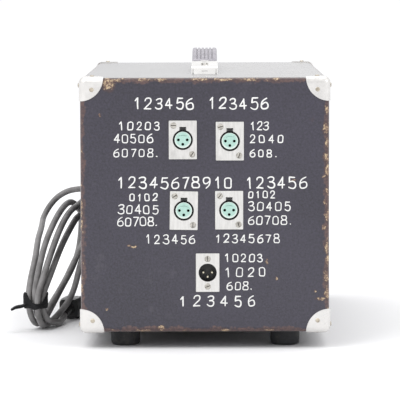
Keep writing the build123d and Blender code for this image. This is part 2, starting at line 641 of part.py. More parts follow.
# ---------------------------------------------------------------- chassis
with BuildPart() as chassis_tray:
    with Locations(((TRAY_X0 + TRAY_X1) / 2, 0, (TRAY_Z0 + TRAY_Z1) / 2)):
        Box(TRAY_X1 - TRAY_X0, 2 * TRAY_Y, TRAY_Z1 - TRAY_Z0)
    with Locations(((TRAY_X0 + TRAY_T + TRAY_X1 + 50) / 2, 0, (TRAY_Z0 + TRAY_T + TRAY_Z1 + 50) / 2)):
        Box(TRAY_X1 + 50 - TRAY_X0 - TRAY_T, 2 * (TRAY_Y - TRAY_T), TRAY_Z1 + 50 - TRAY_Z0 - TRAY_T, mode=Mode.SUBTRACT)
    with Locations(Plane(origin=(TRAY_X0, GLAND_Y, GLAND_Z), z_dir=(-1, 0, 0))):
        Cylinder(6.0, 10, mode=Mode.SUBTRACT)
    with Locations(Plane(origin=(-20, -TRAY_Y, 160), z_dir=(0, -1, 0))):
        Cylinder(9.0, 10, mode=Mode.SUBTRACT)
save(chassis_tray.part, "chassis_tray")
with BuildPart() as chassis_cover:
    with Locations(((TRAY_X0 + TRAY_X1) / 2, 0, TRAY_Z1 + TRAY_T / 2)):
        Box(TRAY_X1 - TRAY_X0, 2 * TRAY_Y, TRAY_T)
    with BuildSketch(Plane.XY.offset(TRAY_Z1 - 1)) as cover_vents:
        with Locations(*[(x, y) for x in (-55, -45, -35, -25) for y in (-140, -60, 20, 100)]):
            SlotOverall(60, 3.0, rotation=90)
    extrude(amount=5, mode=Mode.SUBTRACT)
save(chassis_cover.part, "chassis_cover")

TFX, TFY = -35.0, 150.0
TZ = TRAY_Z0 + TRAY_T
with BuildPart() as transformer_core:
    with Locations((TFX, TFY, TZ + 33)):
        Box(40, 80, 66)
    with Locations(*[(TFX, TFY + s * 20, TZ + 33) for s in (-1, 1)]):
        Box(60, 14, 40, mode=Mode.SUBTRACT)
    fillet(transformer_core.edges().filter_by(Axis.X).group_by(Axis.Z)[-1], 2)
save(transformer_core.part, "transformer_core")
with BuildPart() as transformer_winding:
    with Locations((TFX, TFY, TZ + 33)):
        Box(68, 53.6, 39.6)
    fillet(transformer_winding.edges().filter_by(Axis.Z), 6)
    with Locations((TFX, TFY, TZ + 33)):
        Box(40.2, 26.2, 60, mode=Mode.SUBTRACT)
        Box(41, 90, 60, mode=Mode.SUBTRACT)
    with Locations(*[(TFX, TFY + s * 20, TZ + 33) for s in (-1, 1)]):
        Box(40.4, 13.4, 39.6)
save(transformer_winding.part, "transformer_winding")

BX0, BX1, BY0, BY1 = -72.0, 48.0, -195.0, 85.0
BZ = TZ + 16.0
STAND = [(x, y) for x in (BX0 + 8, BX1 - 8) for y in (BY0 + 8, (BY0 + BY1) / 2, BY1 - 8)]
with BuildPart() as main_board:
    with Locations(((BX0 + BX1) / 2, (BY0 + BY1) / 2, BZ + 0.8)):
        Box(BX1 - BX0, BY1 - BY0, 1.6)
    with Locations(*[(x, y, BZ) for x, y in STAND]):
        Cylinder(1.6, 8, mode=Mode.SUBTRACT)
save(main_board.part, "main_board")
with BuildPart() as board_parts:
    with BuildSketch(Plane.XY.offset(BZ + 1.6)) as cans:
        with Locations((-50, 60), (-20, 60), (10, 60)):
            Circle(12)
    extrude(amount=38)
    with BuildSketch(Plane.XY.offset(BZ + 1.6)) as chips:
        with Locations(*[(x, y) for x in (-50, -15, 20) for y in (-165, -125, -85, -45)]):
            Rectangle(7.5, 19)
    extrude(amount=4.2)
    with BuildSketch(Plane.XY.offset(BZ + 1.6)) as trims:
        with Locations(*[(x, y) for x in (-34, 2, 31) for y in (-150, -105, -60, -15)]):
            Rectangle(9, 9)
    extrude(amount=9)
save(board_parts.part, "board_parts")
with BuildPart() as board_standoffs:
    with BuildSketch(Plane.XY.offset(TZ)) as posts:
        with Locations(*STAND):
            RegularPolygon(3.2, 6)
    extrude(amount=16)
    with BuildSketch(Plane.XY.offset(BZ)) as studs2:
        with Locations(*STAND):
            Circle(1.5)
    extrude(amount=5)
save(board_standoffs.part, "board_standoffs")

# ---------------------------------------------------------------- controls
with BuildPart() as potentiometers:
    for y, z in KNOBS.values():
        at = Plane(origin=(0, y, z), x_dir=(0, 1, 0), z_dir=(1, 0, 0))
        with BuildSketch(at.offset(PANEL_X - PANEL_T - 18)) as pot_can:
            Circle(12.0)
        extrude(amount=18)
        with BuildSketch(at.offset(PANEL_X - PANEL_T)) as pot_bush:
            Circle(4.75)
        extrude(amount=PANEL_T + 4.5)
        with BuildSketch(at.offset(PANEL_X)) as pot_nut:
            RegularPolygon(6.6, 6)
        extrude(amount=2.0)
        with BuildSketch(at.offset(PANEL_X - PANEL_T - 10)) as pot_bore:
            Circle(3.05)
        extrude(amount=40, mode=Mode.SUBTRACT)
save(potentiometers.part, "potentiometers")

for name, (y, z) in KNOBS.items():
    at = Plane(origin=(0, y, z), x_dir=(0, 1, 0), z_dir=(1, 0, 0))
    with BuildPart() as knob:
        # skirt, tapered barrel with a broken top edge; then flutes, a hollow for the nut, and the shaft
        with BuildSketch(Plane(origin=(0, y, z), x_dir=(0, 1, 0), z_dir=(0, 0, 1))) as turned_k:
            with BuildLine():
                Polyline(
                    (0, -(PANEL_X + 0.6)), (15.6, -(PANEL_X + 0.6)), (16.0, -(PANEL_X + 1.0)), (16.0, -(PANEL_X + 3.2)), (15.4, -(PANEL_X + 3.8)),
                    (11.6, -(PANEL_X + 3.8)), (10.9, -(PANEL_X + 18.4)), (10.1, -(PANEL_X + 19.2)), (0, -(PANEL_X + 19.2)), close=True,
                )
            make_face()
        revolve(axis=Axis((0, y, z), (1, 0, 0)))
        with BuildSketch(at.offset(PANEL_X + 6.0)) as flutes:
            with PolarLocations(12.3, 14):
                Circle(1.5)
        extrude(amount=20, mode=Mode.SUBTRACT)
        with BuildSketch(at.offset(PANEL_X - 1)) as hollow_k:
            Circle(8.6)
        extrude(amount=7.6, mode=Mode.SUBTRACT)
        # pointer groove in the skirt and the top
        with BuildSketch(at.offset(PANEL_X + 3.3)) as pointer:
            with Locations((0, 13.6)):
                Rectangle(1.2, 3.6)
        extrude(amount=1.0, mode=Mode.SUBTRACT)
        with BuildSketch(at.offset(PANEL_X + 18.6)) as pointer_top:
            with Locations((0, 6.6)):
                Rectangle(1.3, 7.0)
        extrude(amount=2.0, mode=Mode.SUBTRACT)
        with BuildSketch(at.offset(PANEL_X - PANEL_T - 9.5)) as shaft_k:
            Circle(3.0)
        extrude(amount=PANEL_T + 9.5 + 10)
    save(knob.part, name)

TILT = 12.5
PIVOT_X = PANEL_X + 1.0
with BuildPart() as toggle_bodies:
    for y, z in TOGGLES.values():
        at = Plane(origin=(0, y, z), x_dir=(0, 1, 0), z_dir=(1, 0, 0))
        with BuildSketch(at.offset(PANEL_X - PANEL_T - 20)) as t_box:
            RectangleRounded(14, 24, 1.0)
        extrude(amount=20)
        with BuildSketch(at.offset(PANEL_X - PANEL_T)) as t_bush:
            Circle(5.95)
        extrude(amount=PANEL_T + 6.0)
        with BuildSketch(at.offset(PANEL_X)) as t_nut:
            RegularPolygon(8.2, 6)
        extrude(amount=2.2)
        with BuildSketch(at.offset(PIVOT_X - 5.0)) as t_bore:
            Circle(4.4)
        extrude(amount=20, mode=Mode.SUBTRACT)
save(toggle_bodies.part, "toggle_bodies")

for name, (y, z) in TOGGLES.items():
    # a tapered bat on a ball, resting down; it flips up
    with BuildPart() as lever:
        ct, st = math.cos(math.radians(TILT)), math.sin(math.radians(TILT))
        # profile in a plane through the lever's own line: across it, and along it
        with BuildSketch(Plane(origin=(PIVOT_X, y, z), x_dir=(0, 1, 0), z_dir=(st, 0, ct))) as bat:
            with BuildLine():
                Polyline((0, 3.0), (1.5, 2.6), (2.6, 1.5), (3.0, 0), (2.6, -1.5), (1.5, -2.6), (1.35, -8.0), (1.8, -13.0),
                         (2.5, -18.4), (2.2, -20.0), (1.3, -21.0), (0, -21.3), close=True)
            make_face()
        revolve(axis=Axis((PIVOT_X, y, z), (ct, 0, -st)))
    save(lever.part, name)

# meters: a deep bezel in front of the panel, the round movement can behind it
MB_Y, MB_Z, MB_OUT = 41.0, 35.0, 12.0
NEEDLE_DROP = 23.0
with BuildPart() as meter_housings:
    for y, z in METERS.values():
        at = Plane(origin=(0, y, z), x_dir=(0, 1, 0), z_dir=(1, 0, 0))
        with BuildSketch(at.offset(PANEL_X)) as bez:
            RectangleRounded(2 * MB_Y, 2 * MB_Z, 4.0)
        extrude(amount=MB_OUT)
        with BuildSketch(at.offset(PANEL_X - 26)) as can_m:
            Circle(32.6)
        extrude(amount=26)
        with BuildSketch(at.offset(PANEL_X + 3.0)) as cav:
            with Locations((0, 7.0)):
                RectangleRounded(2 * MB_Y - 8, 2 * MB_Z - 22, 2.0)
        extrude(amount=20, mode=Mode.SUBTRACT)
        with BuildSketch(at.offset(PANEL_X + 3.0)) as cav2:
            with Locations((0, -15.0)):
                RectangleRounded(2 * MB_Y - 14, 30.0, 2.0)
        extrude(amount=6.6, mode=Mode.SUBTRACT)
        # seat for the window
        with BuildSketch(at.offset(PANEL_X + MB_OUT - 1.6)) as seat_m:
            with Locations((0, 7.0)):
                RectangleRounded(2 * MB_Y - 5, 2 * MB_Z - 19, 2.5)
        extrude(amount=5, mode=Mode.SUBTRACT)
        # pivot bore behind the needle
        with BuildSketch(at.offset(PANEL_X + 4)) as piv:
            with Locations((0, -NEEDLE_DROP)):
                Circle(1.04)
        extrude(amount=-5, mode=Mode.SUBTRACT)
save(meter_housings.part, "meter_housings")
with BuildPart() as meter_windows:
    for y, z in METERS.values():
        at = Plane(origin=(0, y, z), x_dir=(0, 1, 0), z_dir=(1, 0, 0))
        with BuildSketch(at.offset(PANEL_X + MB_OUT - 1.6)) as glass:
            with Locations((0, 7.0)):
                RectangleRounded(2 * MB_Y - 5, 2 * MB_Z - 19, 2.5)
        extrude(amount=1.3)
save(meter_windows.part, "meter_windows")
for name, (y, z) in METERS.items():
    with BuildPart() as needle:
        r45 = math.sqrt(0.5)
        flat = Plane(origin=(PANEL_X + 6.0, y, z - NEEDLE_DROP), x_dir=(0, r45, r45), z_dir=(1, 0, 0))
        with BuildSketch(flat) as blade:
            with BuildLine():
                Polyline((-0.7, -4.5), (0.7, -4.5), (0.7, 6), (0.28, 46), (-0.28, 46), (-0.7, 6), close=True)
            make_face()
            Circle(3.0)
        extrude(amount=0.8)
        with BuildSketch(Plane(origin=(PANEL_X + 0.5, y, z - NEEDLE_DROP), x_dir=(0, 1, 0), z_dir=(1, 0, 0))) as pin_n:
            Circle(1.0)
        extrude(amount=6.5)
    save(needle.part, name)

# fuse holder with a bayonet cap, and the pilot lamp
fy, fz = FUSE
FAT = Plane(origin=(0, fy, fz), x_dir=(0, 1, 0), z_dir=(1, 0, 0))
with BuildPart() as fuse_holder:
    with BuildSketch(FAT.offset(PANEL_X - 36)) as fh:
        Circle(6.1)
    extrude(amount=36)
    with BuildSketch(FAT.offset(PANEL_X)) as fh_fl:
        Circle(9.0)
    extrude(amount=2.2)
    with BuildSketch(FAT.offset(PANEL_X - 33)) as fh_b:
        Circle(4.3)
    extrude(amount=50, mode=Mode.SUBTRACT)
save(fuse_holder.part, "fuse_holder")
with BuildPart() as fuse_cap:
    with BuildSketch(Plane(origin=(0, fy, fz), x_dir=(0, 1, 0), z_dir=(0, 0, 1))) as fc:
        with BuildLine():
            Polyline((0, -(PANEL_X + 2.4)), (7.4, -(PANEL_X + 2.4)), (6.9, -(PANEL_X + 9.6)), (6.1, -(PANEL_X + 10.4)), (0, -(PANEL_X + 10.4)), close=True)
        make_face()
    revolve(axis=Axis((0, fy, fz), (1, 0, 0)))
    with BuildSketch(FAT.offset(PANEL_X - 30)) as fc_s:
        Circle(4.24)
    extrude(amount=32.6)
    with BuildSketch(FAT.offset(PANEL_X + 9.4)) as fc_slot:
        Rectangle(10.0, 1.4)
    extrude(amount=2, mode=Mode.SUBTRACT)
save(fuse_cap.part, "fuse_cap")
ly, lz = LAMP
LAT = Plane(origin=(0, ly, lz), x_dir=(0, 1, 0), z_dir=(1, 0, 0))
with BuildPart() as pilot_lamp:
    with BuildSketch(LAT.offset(PANEL_X - 22)) as pl_b:
        Circle(5.1)
    extrude(amount=22)
    with BuildSketch(LAT.offset(PANEL_X)) as pl_r:
        Circle(7.6)
    extrude(amount=2.4)
    with BuildSketch(Plane(origin=(0, ly, lz), x_dir=(0, 1, 0), z_dir=(0, 0, 1))) as pl_l:
        with BuildLine():
            Polyline((0, -(PANEL_X + 2.0)), (5.6, -(PANEL_X + 2.0)), (5.4, -(PANEL_X + 4.2)), (4.4, -(PANEL_X + 5.8)), (2.6, -(PANEL_X + 6.8)), (0, -(PANEL_X + 7.1)), close=True)
        make_face()
    revolve(axis=Axis((0, ly, lz), (1, 0, 0)))
save(pilot_lamp.part, "pilot_lamp")

# ---------------------------------------------------------------- mains lead: gland with its tapered strain relief
GX = Plane(origin=(0, GLAND_Y, GLAND_Z), x_dir=(0, 1, 0), z_dir=(-1, 0, 0))
GLAND_TIP = -137.0
with BuildPart() as cable_gland:
    with BuildSketch(GX.offset(-BACK_X)) as g_flange:
        RegularPolygon(10.5, 6)
    extrude(amount=3.5)
    with BuildSketch(GX.offset(-BACK_X + 3.5)) as g_root:
        Circle(7.0)
    with BuildSketch(GX.offset(-GLAND_TIP)) as g_tip:
        Circle(4.4)
    loft()
    with BuildSketch(GX.offset(-BACK_X)) as g_thread:
        Circle(6.95)
    extrude(amount=-12)
    with BuildSketch(GX.offset(-BACK_X - BACK_T - 0.2)) as g_nut:
        RegularPolygon(10.5, 6)
    extrude(amount=-4)
    with BuildSketch(GX.offset(-BACK_X + 60)) as g_bore:
        Circle(LEAD_R)
    extrude(amount=-100, mode=Mode.SUBTRACT)
save(cable_gland.part, "cable_gland")

# the lead lies in three loose turns, tied near the floor and leaning on the back of the case.
# The turns stand in the slanted plane x = CA + CB*y + CC*z; the solid is their outer shape.
CA, CB, CC, CHALF = -158.65, 0.1874, 0.178, 13.0
COIL_OUTER = [(88.5, 70), (82.5, 104), (60, 123), (26, 133.4), (-2, 134.6), (-26, 133), (-49, 128.4), (-73, 117.5), (-93.5, 98), (-108, 70),
              (-114.5, 40), (-111, 18), (-98, 3.6), (-78, 0.6), (-52, 2.2), (-25, 8.2), (-4, 17.4), (14, 25.4), (36, 32.6), (62, 42), (80, 53)]
COIL_INNER = [(37, 70), (37.5, 87), (25, 100.5), (9, 107.5), (-6.6, 109.6), (-21, 108.6), (-35, 104.2), (-49, 97.2), (-64.6, 86), (-81, 68),
              (-91.5, 50), (-95.0, 37), (-86, 26.5), (-68, 24.5), (-34, 33.5), (-19, 38.2), (-6, 42.6), (8, 49.4), (20, 56), (30, 62)]
COIL_NORMAL = Vector(1, -CB, -CC)
with BuildPart() as mains_lead_coil:
    with BuildSketch(Plane(origin=(-205, 0, 0), x_dir=(0, 1, 0), z_dir=(1, 0, 0))) as coil_outline:
        with BuildLine():
            Spline(*COIL_OUTER, periodic=True)
        make_face()
        with BuildLine():
            Spline(*COIL_INNER, periodic=True)
        make_face(mode=Mode.SUBTRACT)
    extrude(amount=90)
    split(bisect_by=Plane(origin=(CA - CHALF, 0, 0), z_dir=COIL_NORMAL), keep=Keep.TOP)
    split(bisect_by=Plane(origin=(CA + CHALF, 0, 0), z_dir=COIL_NORMAL), keep=Keep.BOTTOM)
    split(bisect_by=Plane(origin=(-124.0, 0, 0), z_dir=(1, 0, 0)), keep=Keep.BOTTOM)
    split(bisect_by=Plane(origin=(0, 0, 0.4), z_dir=(0, 0, 1)), keep=Keep.TOP)
save(mains_lead_coil.part, "mains_lead_coil")


def bend_radii(points):
    """For each inner point: 0.45 of the shorter run over the tangent of half the turn."""
    v = [Vector(*p) for p in points]
    out = []
    for a, b, c in zip(v, v[1:], v[2:]):
        turn = (b - a).get_angle(c - b)
        out.append(0.45 * min((b - a).length, (c - b).length) / math.tan(math.radians(turn / 2)))
    return out


LEAD_IN = [(GLAND_TIP, 180, 128.6), (-147.5, 180, 128.2), (-158.6, 179.6, 124.9), (-168.2, 177.9, 118.7), (-175.2, 173.8, 110.6), (-179.6, 166.6, 103.4),
           (-181.8, 156.0, 98.4), (-182.2, 142, 95.4), (-181.6, 122, 93.4), (-181.0, 94, 91.6), (-180.6, 60, 89.4), (-180.5, 22, 86.2), (-179.8, -16, 80.4),
           (-179.6, -48, 72.6), (-180.6, -74, 62.8), (-181.4, -92, 52.6), (-180.0, -103, 41.0), (-177.4, -108, 29.0)]
PLUG_DIR = Vector(0.16, 0.987, 0.0).normalized()
PLUG_REAR = Vector(-147.4, 6.0, 11.2)
neck_end, neck_run = PLUG_REAR - PLUG_DIR * 5, PLUG_REAR - PLUG_DIR * 17
TAIL = [(-166.0, -84, 4.6), (-158.4, -68, 4.1), (-153.0, -49, 4.0), (-150.6, -30, 6.6), (neck_run.X, neck_run.Y, 10.6), (neck_end.X, neck_end.Y, 11.2)]
LEAD_RADII, TAIL_RADII = bend_radii(LEAD_IN), bend_radii(TAIL)
print("lead-in radii", [round(r, 1) for r in LEAD_RADII])
print("tail radii", [round(r, 1) for r in TAIL_RADII])
with BuildPart() as lead_in_tube:
    with BuildLine() as lead_path:
        lead_run = FilletPolyline(*LEAD_IN, radius=LEAD_RADII)
    with BuildSketch(Plane(origin=LEAD_IN[0], z_dir=Vector(*LEAD_IN[1]) - Vector(*LEAD_IN[0]))) as lead_round:
        Circle(LEAD_R)
    sweep(path=lead_path.wires()[0])
with BuildPart() as tail_tube:
    with BuildLine() as tail_path:
        tail_run = FilletPolyline(*TAIL, radius=TAIL_RADII)
    with BuildSketch(Plane(origin=TAIL[0], z_dir=Vector(*TAIL[1]) - Vector(*TAIL[0]))) as tail_round:
        Circle(LEAD_R)
    sweep(path=tail_path.wires()[0])
for tube, path in ((lead_in_tube, lead_path), (tail_tube, tail_path)):
    run_length = path.wires()[0].length
    print("path length", round(run_length, 1), "volume over section times length", round(tube.part.volume / (math.pi * LEAD_R**2 * run_length), 4))

# plug: a moulded three-pin body lying on the floor, its rear to the connector end
PLUG_PLANE = Plane(origin=PLUG_REAR, x_dir=PLUG_DIR.cross(Vector(0, 0, 1)), z_dir=PLUG_DIR)
with BuildPart() as mains_plug:
    with BuildSketch(PLUG_PLANE) as p_rear:
        RectangleRounded(20, 19.6, 4)
    with BuildSketch(PLUG_PLANE.offset(10)) as p_mid:
        RectangleRounded(23, 21.4, 4)
    loft()
    with BuildSketch(PLUG_PLANE.offset(10)) as p_body:
        RectangleRounded(23, 21.4, 4)
    extrude(amount=22)
    with BuildSketch(PLUG_PLANE) as p_neck:
        Circle(6.0)
    extrude(amount=-5)
    with BuildSketch(PLUG_PLANE.offset(32)) as p_blades:
        with Locations((-6.35, 3.0), (6.35, 3.0)):
            Rectangle(1.5, 6.3)
        with Locations((0, -6.6)):
            Circle(2.4)
    extrude(amount=17)
save(mains_plug.part, "mains_plug")

with BuildPart() as mains_lead:
    add(lead_in_tube.part)
    add(tail_tube.part)
print("lead solids", [round(b.volume, 1) for b in mains_lead.part.solids()])
save(mains_lead.part, "mains_lead")

# tie: a hook-and-loop strap round the turns, with a short free end
with BuildPart() as cable_tie:
    with BuildSketch(Plane(origin=(-175.5, -103.5, 24.0), x_dir=(1, 0, 0), z_dir=(0, 0.05, 1))) as t_out:
        RectangleRounded(34, 26, 7)
    extrude(amount=15)
    with Locations((-196.0, -106.5, 24.6)):
        Box(15, 4.2, 2.2)
    add(mains_lead_coil.part, mode=Mode.SUBTRACT)
    add(lead_in_tube.part, mode=Mode.SUBTRACT)
print("tie solids", [round(b.volume, 1) for b in cable_tie.part.solids()])
save(cable_tie.part, "cable_tie")
print("done")
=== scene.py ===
import json
import math
import random

import bmesh
import bpy
import numpy as np
from mathutils import Matrix, Vector


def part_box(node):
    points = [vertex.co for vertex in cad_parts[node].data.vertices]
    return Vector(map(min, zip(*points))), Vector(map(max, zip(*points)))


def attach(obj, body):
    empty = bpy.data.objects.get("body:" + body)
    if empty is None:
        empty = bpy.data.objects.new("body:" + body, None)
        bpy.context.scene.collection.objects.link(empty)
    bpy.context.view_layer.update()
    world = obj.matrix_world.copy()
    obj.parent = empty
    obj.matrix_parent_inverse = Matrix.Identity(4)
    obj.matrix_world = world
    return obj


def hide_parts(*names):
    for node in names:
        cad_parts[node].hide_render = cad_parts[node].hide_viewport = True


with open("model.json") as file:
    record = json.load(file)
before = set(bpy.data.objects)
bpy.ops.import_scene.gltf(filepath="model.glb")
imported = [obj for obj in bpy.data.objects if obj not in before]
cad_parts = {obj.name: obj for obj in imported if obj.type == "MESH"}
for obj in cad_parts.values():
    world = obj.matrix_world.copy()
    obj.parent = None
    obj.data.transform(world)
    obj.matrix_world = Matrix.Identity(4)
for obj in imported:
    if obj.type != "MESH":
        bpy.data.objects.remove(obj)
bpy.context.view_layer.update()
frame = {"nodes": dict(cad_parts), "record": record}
N = frame["nodes"]
MM = 0.001

# ---------------------------------------------------------------- the case, from the frame
lo_c, hi_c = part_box("connector_end_board")
lo_p, hi_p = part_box("plain_end_board")
lo_t, hi_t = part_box("case_top")
lo_b, hi_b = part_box("case_bottom")
Y0, Y1 = lo_c.y, hi_p.y
X0, X1 = lo_c.x, hi_c.x
Z0, Z1 = lo_b.z, hi_t.z
HX, HY, HZ, ZC = (X1 - X0) / 2, (Y1 - Y0) / 2, (Z1 - Z0) / 2, (Z0 + Z1) / 2


SOCKETS = [(-0.0216, 0.2078), (0.0248, 0.2065), (-0.0208, 0.1379), (0.0240, 0.1382)]   # middles of the four inserts


# ================================================================ node graphs
class Graph:
    def __init__(self, name):
        self.m = bpy.data.materials.new(name)
        self.m.use_nodes = True
        self.t = self.m.node_tree
        self.t.nodes.clear()
        self.out = self.t.nodes.new("ShaderNodeOutputMaterial")
        self.b = self.t.nodes.new("ShaderNodeBsdfPrincipled")
        self.t.links.new(self.b.outputs[0], self.out.inputs[0])
        self.obj = self.t.nodes.new("ShaderNodeTexCoord").outputs["Object"]

    def put(self, socket, v):
        if isinstance(v, bpy.types.NodeSocket):
            self.t.links.new(v, socket)
        else:
            if hasattr(socket.default_value, "__len__") and hasattr(v, "__len__"):
                v = tuple(v) + (1.0,) * (len(socket.default_value) - len(v))
            socket.default_value = v

    def math(self, op, a, b=None, c=None, clamp=False):
        n = self.t.nodes.new("ShaderNodeMath")
        n.operation, n.use_clamp = op, clamp
        for i, v in enumerate((a, b, c)):
            if v is not None:
                self.put(n.inputs[i], v)
        return n.outputs[0]

    def vec(self, op, a, b=None, c=None, scale=None):
        n = self.t.nodes.new("ShaderNodeVectorMath")
        n.operation = op
        for i, v in enumerate((a, b, c)):
            if v is not None:
                self.put(n.inputs[i], v)
        if scale is not None:
            self.put(n.inputs["Scale"], scale)
        return n.outputs["Value"] if op in ("LENGTH", "DOT_PRODUCT", "DISTANCE") else n.outputs["Vector"]

    def noise(self, scale, detail=3.0, rough=0.55, vec=None, out="Fac", dist=0.0):
        n = self.t.nodes.new("ShaderNodeTexNoise")
        self.put(n.inputs["Vector"], vec if vec is not None else self.obj)
        n.inputs["Scale"].default_value = scale
        n.inputs["Detail"].default_value = detail
        n.inputs["Roughness"].default_value = rough
        n.inputs["Distortion"].default_value = dist
        return n.outputs[out]

    def voronoi(self, scale, feature="F1", out="Distance", vec=None, rand=1.0):
        n = self.t.nodes.new("ShaderNodeTexVoronoi")
        n.feature = feature
        self.put(n.inputs["Vector"], vec if vec is not None else self.obj)
        n.inputs["Scale"].default_value = scale
        n.inputs["Randomness"].default_value = rand
        return n.outputs[out]

    def rng(self, v, a, b, c=0.0, d=1.0, smooth=True):
        n = self.t.nodes.new("ShaderNodeMapRange")
        n.interpolation_type = "SMOOTHSTEP" if smooth else "LINEAR"
        n.clamp = True
        self.put(n.inputs[0], v)
        for i, x in enumerate((a, b, c, d)):
            self.put(n.inputs[i + 1], x)
        return n.outputs[0]

    def mix(self, f, a, b):
        n = self.t.nodes.new("ShaderNodeMix")
        n.data_type = "RGBA"
        self.put(n.inputs[0], f)
        self.put(n.inputs[6], a)
        self.put(n.inputs[7], b)
        return n.outputs[2]

    def scale_col(self, col, f):
        """the colour times a grey factor"""
        n = self.t.nodes.new("ShaderNodeMix")
        n.data_type, n.blend_type = "RGBA", "MULTIPLY"
        n.inputs[0].default_value = 1.0
        self.put(n.inputs[6], col)
        self.put(n.inputs[7], f)
        return n.outputs[2]

    def xyz(self, v=None):
        n = self.t.nodes.new("ShaderNodeSeparateXYZ")
        self.put(n.inputs[0], v if v is not None else self.obj)
        return n.outputs

    def bump(self, h, strength, dist, normal=None):
        n = self.t.nodes.new("ShaderNodeBump")
        n.inputs["Strength"].default_value = strength
        n.inputs["Distance"].default_value = dist
        self.put(n.inputs["Height"], h)
        if normal is not None:
            self.put(n.inputs["Normal"], normal)
        return n.outputs[0]

    def set(self, **kw):
        for k, v in kw.items():
            self.put(self.b.inputs[k.replace("_", " ")], v)
        return self


def lin(r, g, b):
    """0-255 display numbers to linear colour"""
    return tuple(((c / 255 + 0.055) / 1.055) ** 2.4 if c > 10 else c / 255 / 12.92 for c in (r, g, b))


def stuff(name, col, rough, metallic=0.0, var=0.12, vscale=70, grain=0.15, gscale=900, gdist=0.0002, spec=0.5, rvar=0.12, dirt=None, coat=0.0):
    """a surface of one stuff: mottled colour, uneven gloss, fine grain, and dirt where asked"""
    g = Graph(name)
    m = g.rng(g.noise(vscale, 4.0, 0.6), 0.3, 0.7, 1.0 - var, 1.0 + var * 0.6)
    c = g.scale_col(tuple(col) + (1.0,), g.math("MULTIPLY", m, 1.0))
    if dirt:
        f = g.rng(g.noise(vscale * 0.6, 5.0, 0.65), 0.52, 0.72, 0.0, dirt[1])
        c = g.mix(f, c, tuple(dirt[0]) + (1.0,))
    r = g.rng(g.noise(vscale * 2.3, 5.0, 0.7), 0.3, 0.7, rough - rvar / 2, rough + rvar / 2)
    g.set(Base_Color=c, Roughness=r)
    g.b.inputs["Metallic"].default_value = metallic
    g.b.inputs["Specular IOR Level"].default_value = spec
    if coat:
        g.b.inputs["Coat Weight"].default_value = coat
        g.b.inputs["Coat Roughness"].default_value = 0.15
    if grain:
        g.set(Normal=g.bump(g.noise(gscale, 3.0, 0.6), grain, gdist))
    return g.m


# ---------------------------------------------------------------- covering, worn along its edges
# places where the covering is gone, (x, y, z) and half sizes in mm: on the connector end, then round the other sides
CHIPS = [
    ((-95.2, -258, 263.6), (6.0, 6, 6.6)), ((-88, -258, 266.6), (6, 5, 2.0)), ((-60, -258, 267.6), (9, 4, 1.4)), ((-44, -258, 267.4), (7, 4, 1.5)),
    ((-6, -258, 267.4), (9, 4, 1.4)), ((18, -258, 267.3), (12, 4, 1.3)), ((44, -258, 267.2), (9, 4, 1.5)), ((70, -258, 267.6), (5, 4, 1.2)),
    ((121.2, -258, 237), (2.6, 5, 4)), ((120.2, -258, 219), (3.6, 5, 5.5)), ((121.6, -258, 205), (2.6, 5, 5)), ((120.6, -258, 190), (3.6, 5, 5)),
    ((121.4, -258, 178), (2.8, 5, 6.5)), ((117.8, -258, 171), (1.6, 5, 1.6)), ((121.0, -258, 157), (2.6, 5, 2.6)), ((118.6, -258, 146), (1.4, 5, 2.0)),
    ((121.4, -258, 133), (2.8, 5, 7)), ((117.0, -258, 121), (1.8, 5, 2.6)), ((121.2, -258, 101), (2.8, 5, 5.5)), ((121.6, -258, 88), (2.6, 5, 7)),
    ((120.6, -258, 72), (3.2, 5, 6)), ((121.2, -258, 56), (3.0, 5, 7)), ((114.5, -258, 50), (4.6, 5, 1.2)), ((109, -258, 57), (1.2, 5, 1.0)),
    ((-60, -258, 18.4), (7, 5, 1.8)), ((-43.8, -258, 21.4), (3.2, 5, 2.6)), ((20, -258, 18.2), (6, 5, 1.4)), ((64, -258, 18.6), (5, 5, 1.8)),
    ((-122.3, -258, 140), (1.6, 5, 9)), ((-122.4, -258, 122), (1.6, 5, 6)), ((-122.6, -258, 60), (1.8, 5, 6)), ((-122.6, -258, 196), (1.4, 5, 4)),
    ((-75.5, -258.4, 103.2), (1.6, 2, 1.4)), ((-70.2, -258.4, 101.8), (2.6, 2, 1.3)), ((61.6, -258.4, 87.2), (1.3, 2, 2.4)), ((71.2, -258.4, 70.6), (1.2, 2, 2.2)),
    ((88, -258.4, 168), (3.2, 2, 1.0)), ((-103, -258.4, 232), (1.2, 2, 1.0)), ((-98, -258.4, 40), (1.6, 2, 1.0)),
    ((123, -120, 268), (3, 22, 2)), ((123, 60, 268), (3, 12, 2)), ((-123, 10, 268), (3, 18, 2)), ((123, 190, 18), (3, 14, 2)), ((-60, 258, 268), (12, 3, 2)),
    ((40, 258, 268), (8, 3, 2)), ((122, 258, 120), (2, 3, 12)), ((-122, 258, 70), (2, 3, 9)), ((20, 258, 18), (10, 3, 2)), ((-123, -150, 18), (3, 12, 2)),
    ((30, 60, 269), (3, 1.6, 2)), ((-60, -90, 269), (2, 2.6, 2)), ((60, -170, 269), (2.4, 1.4, 2)),
]


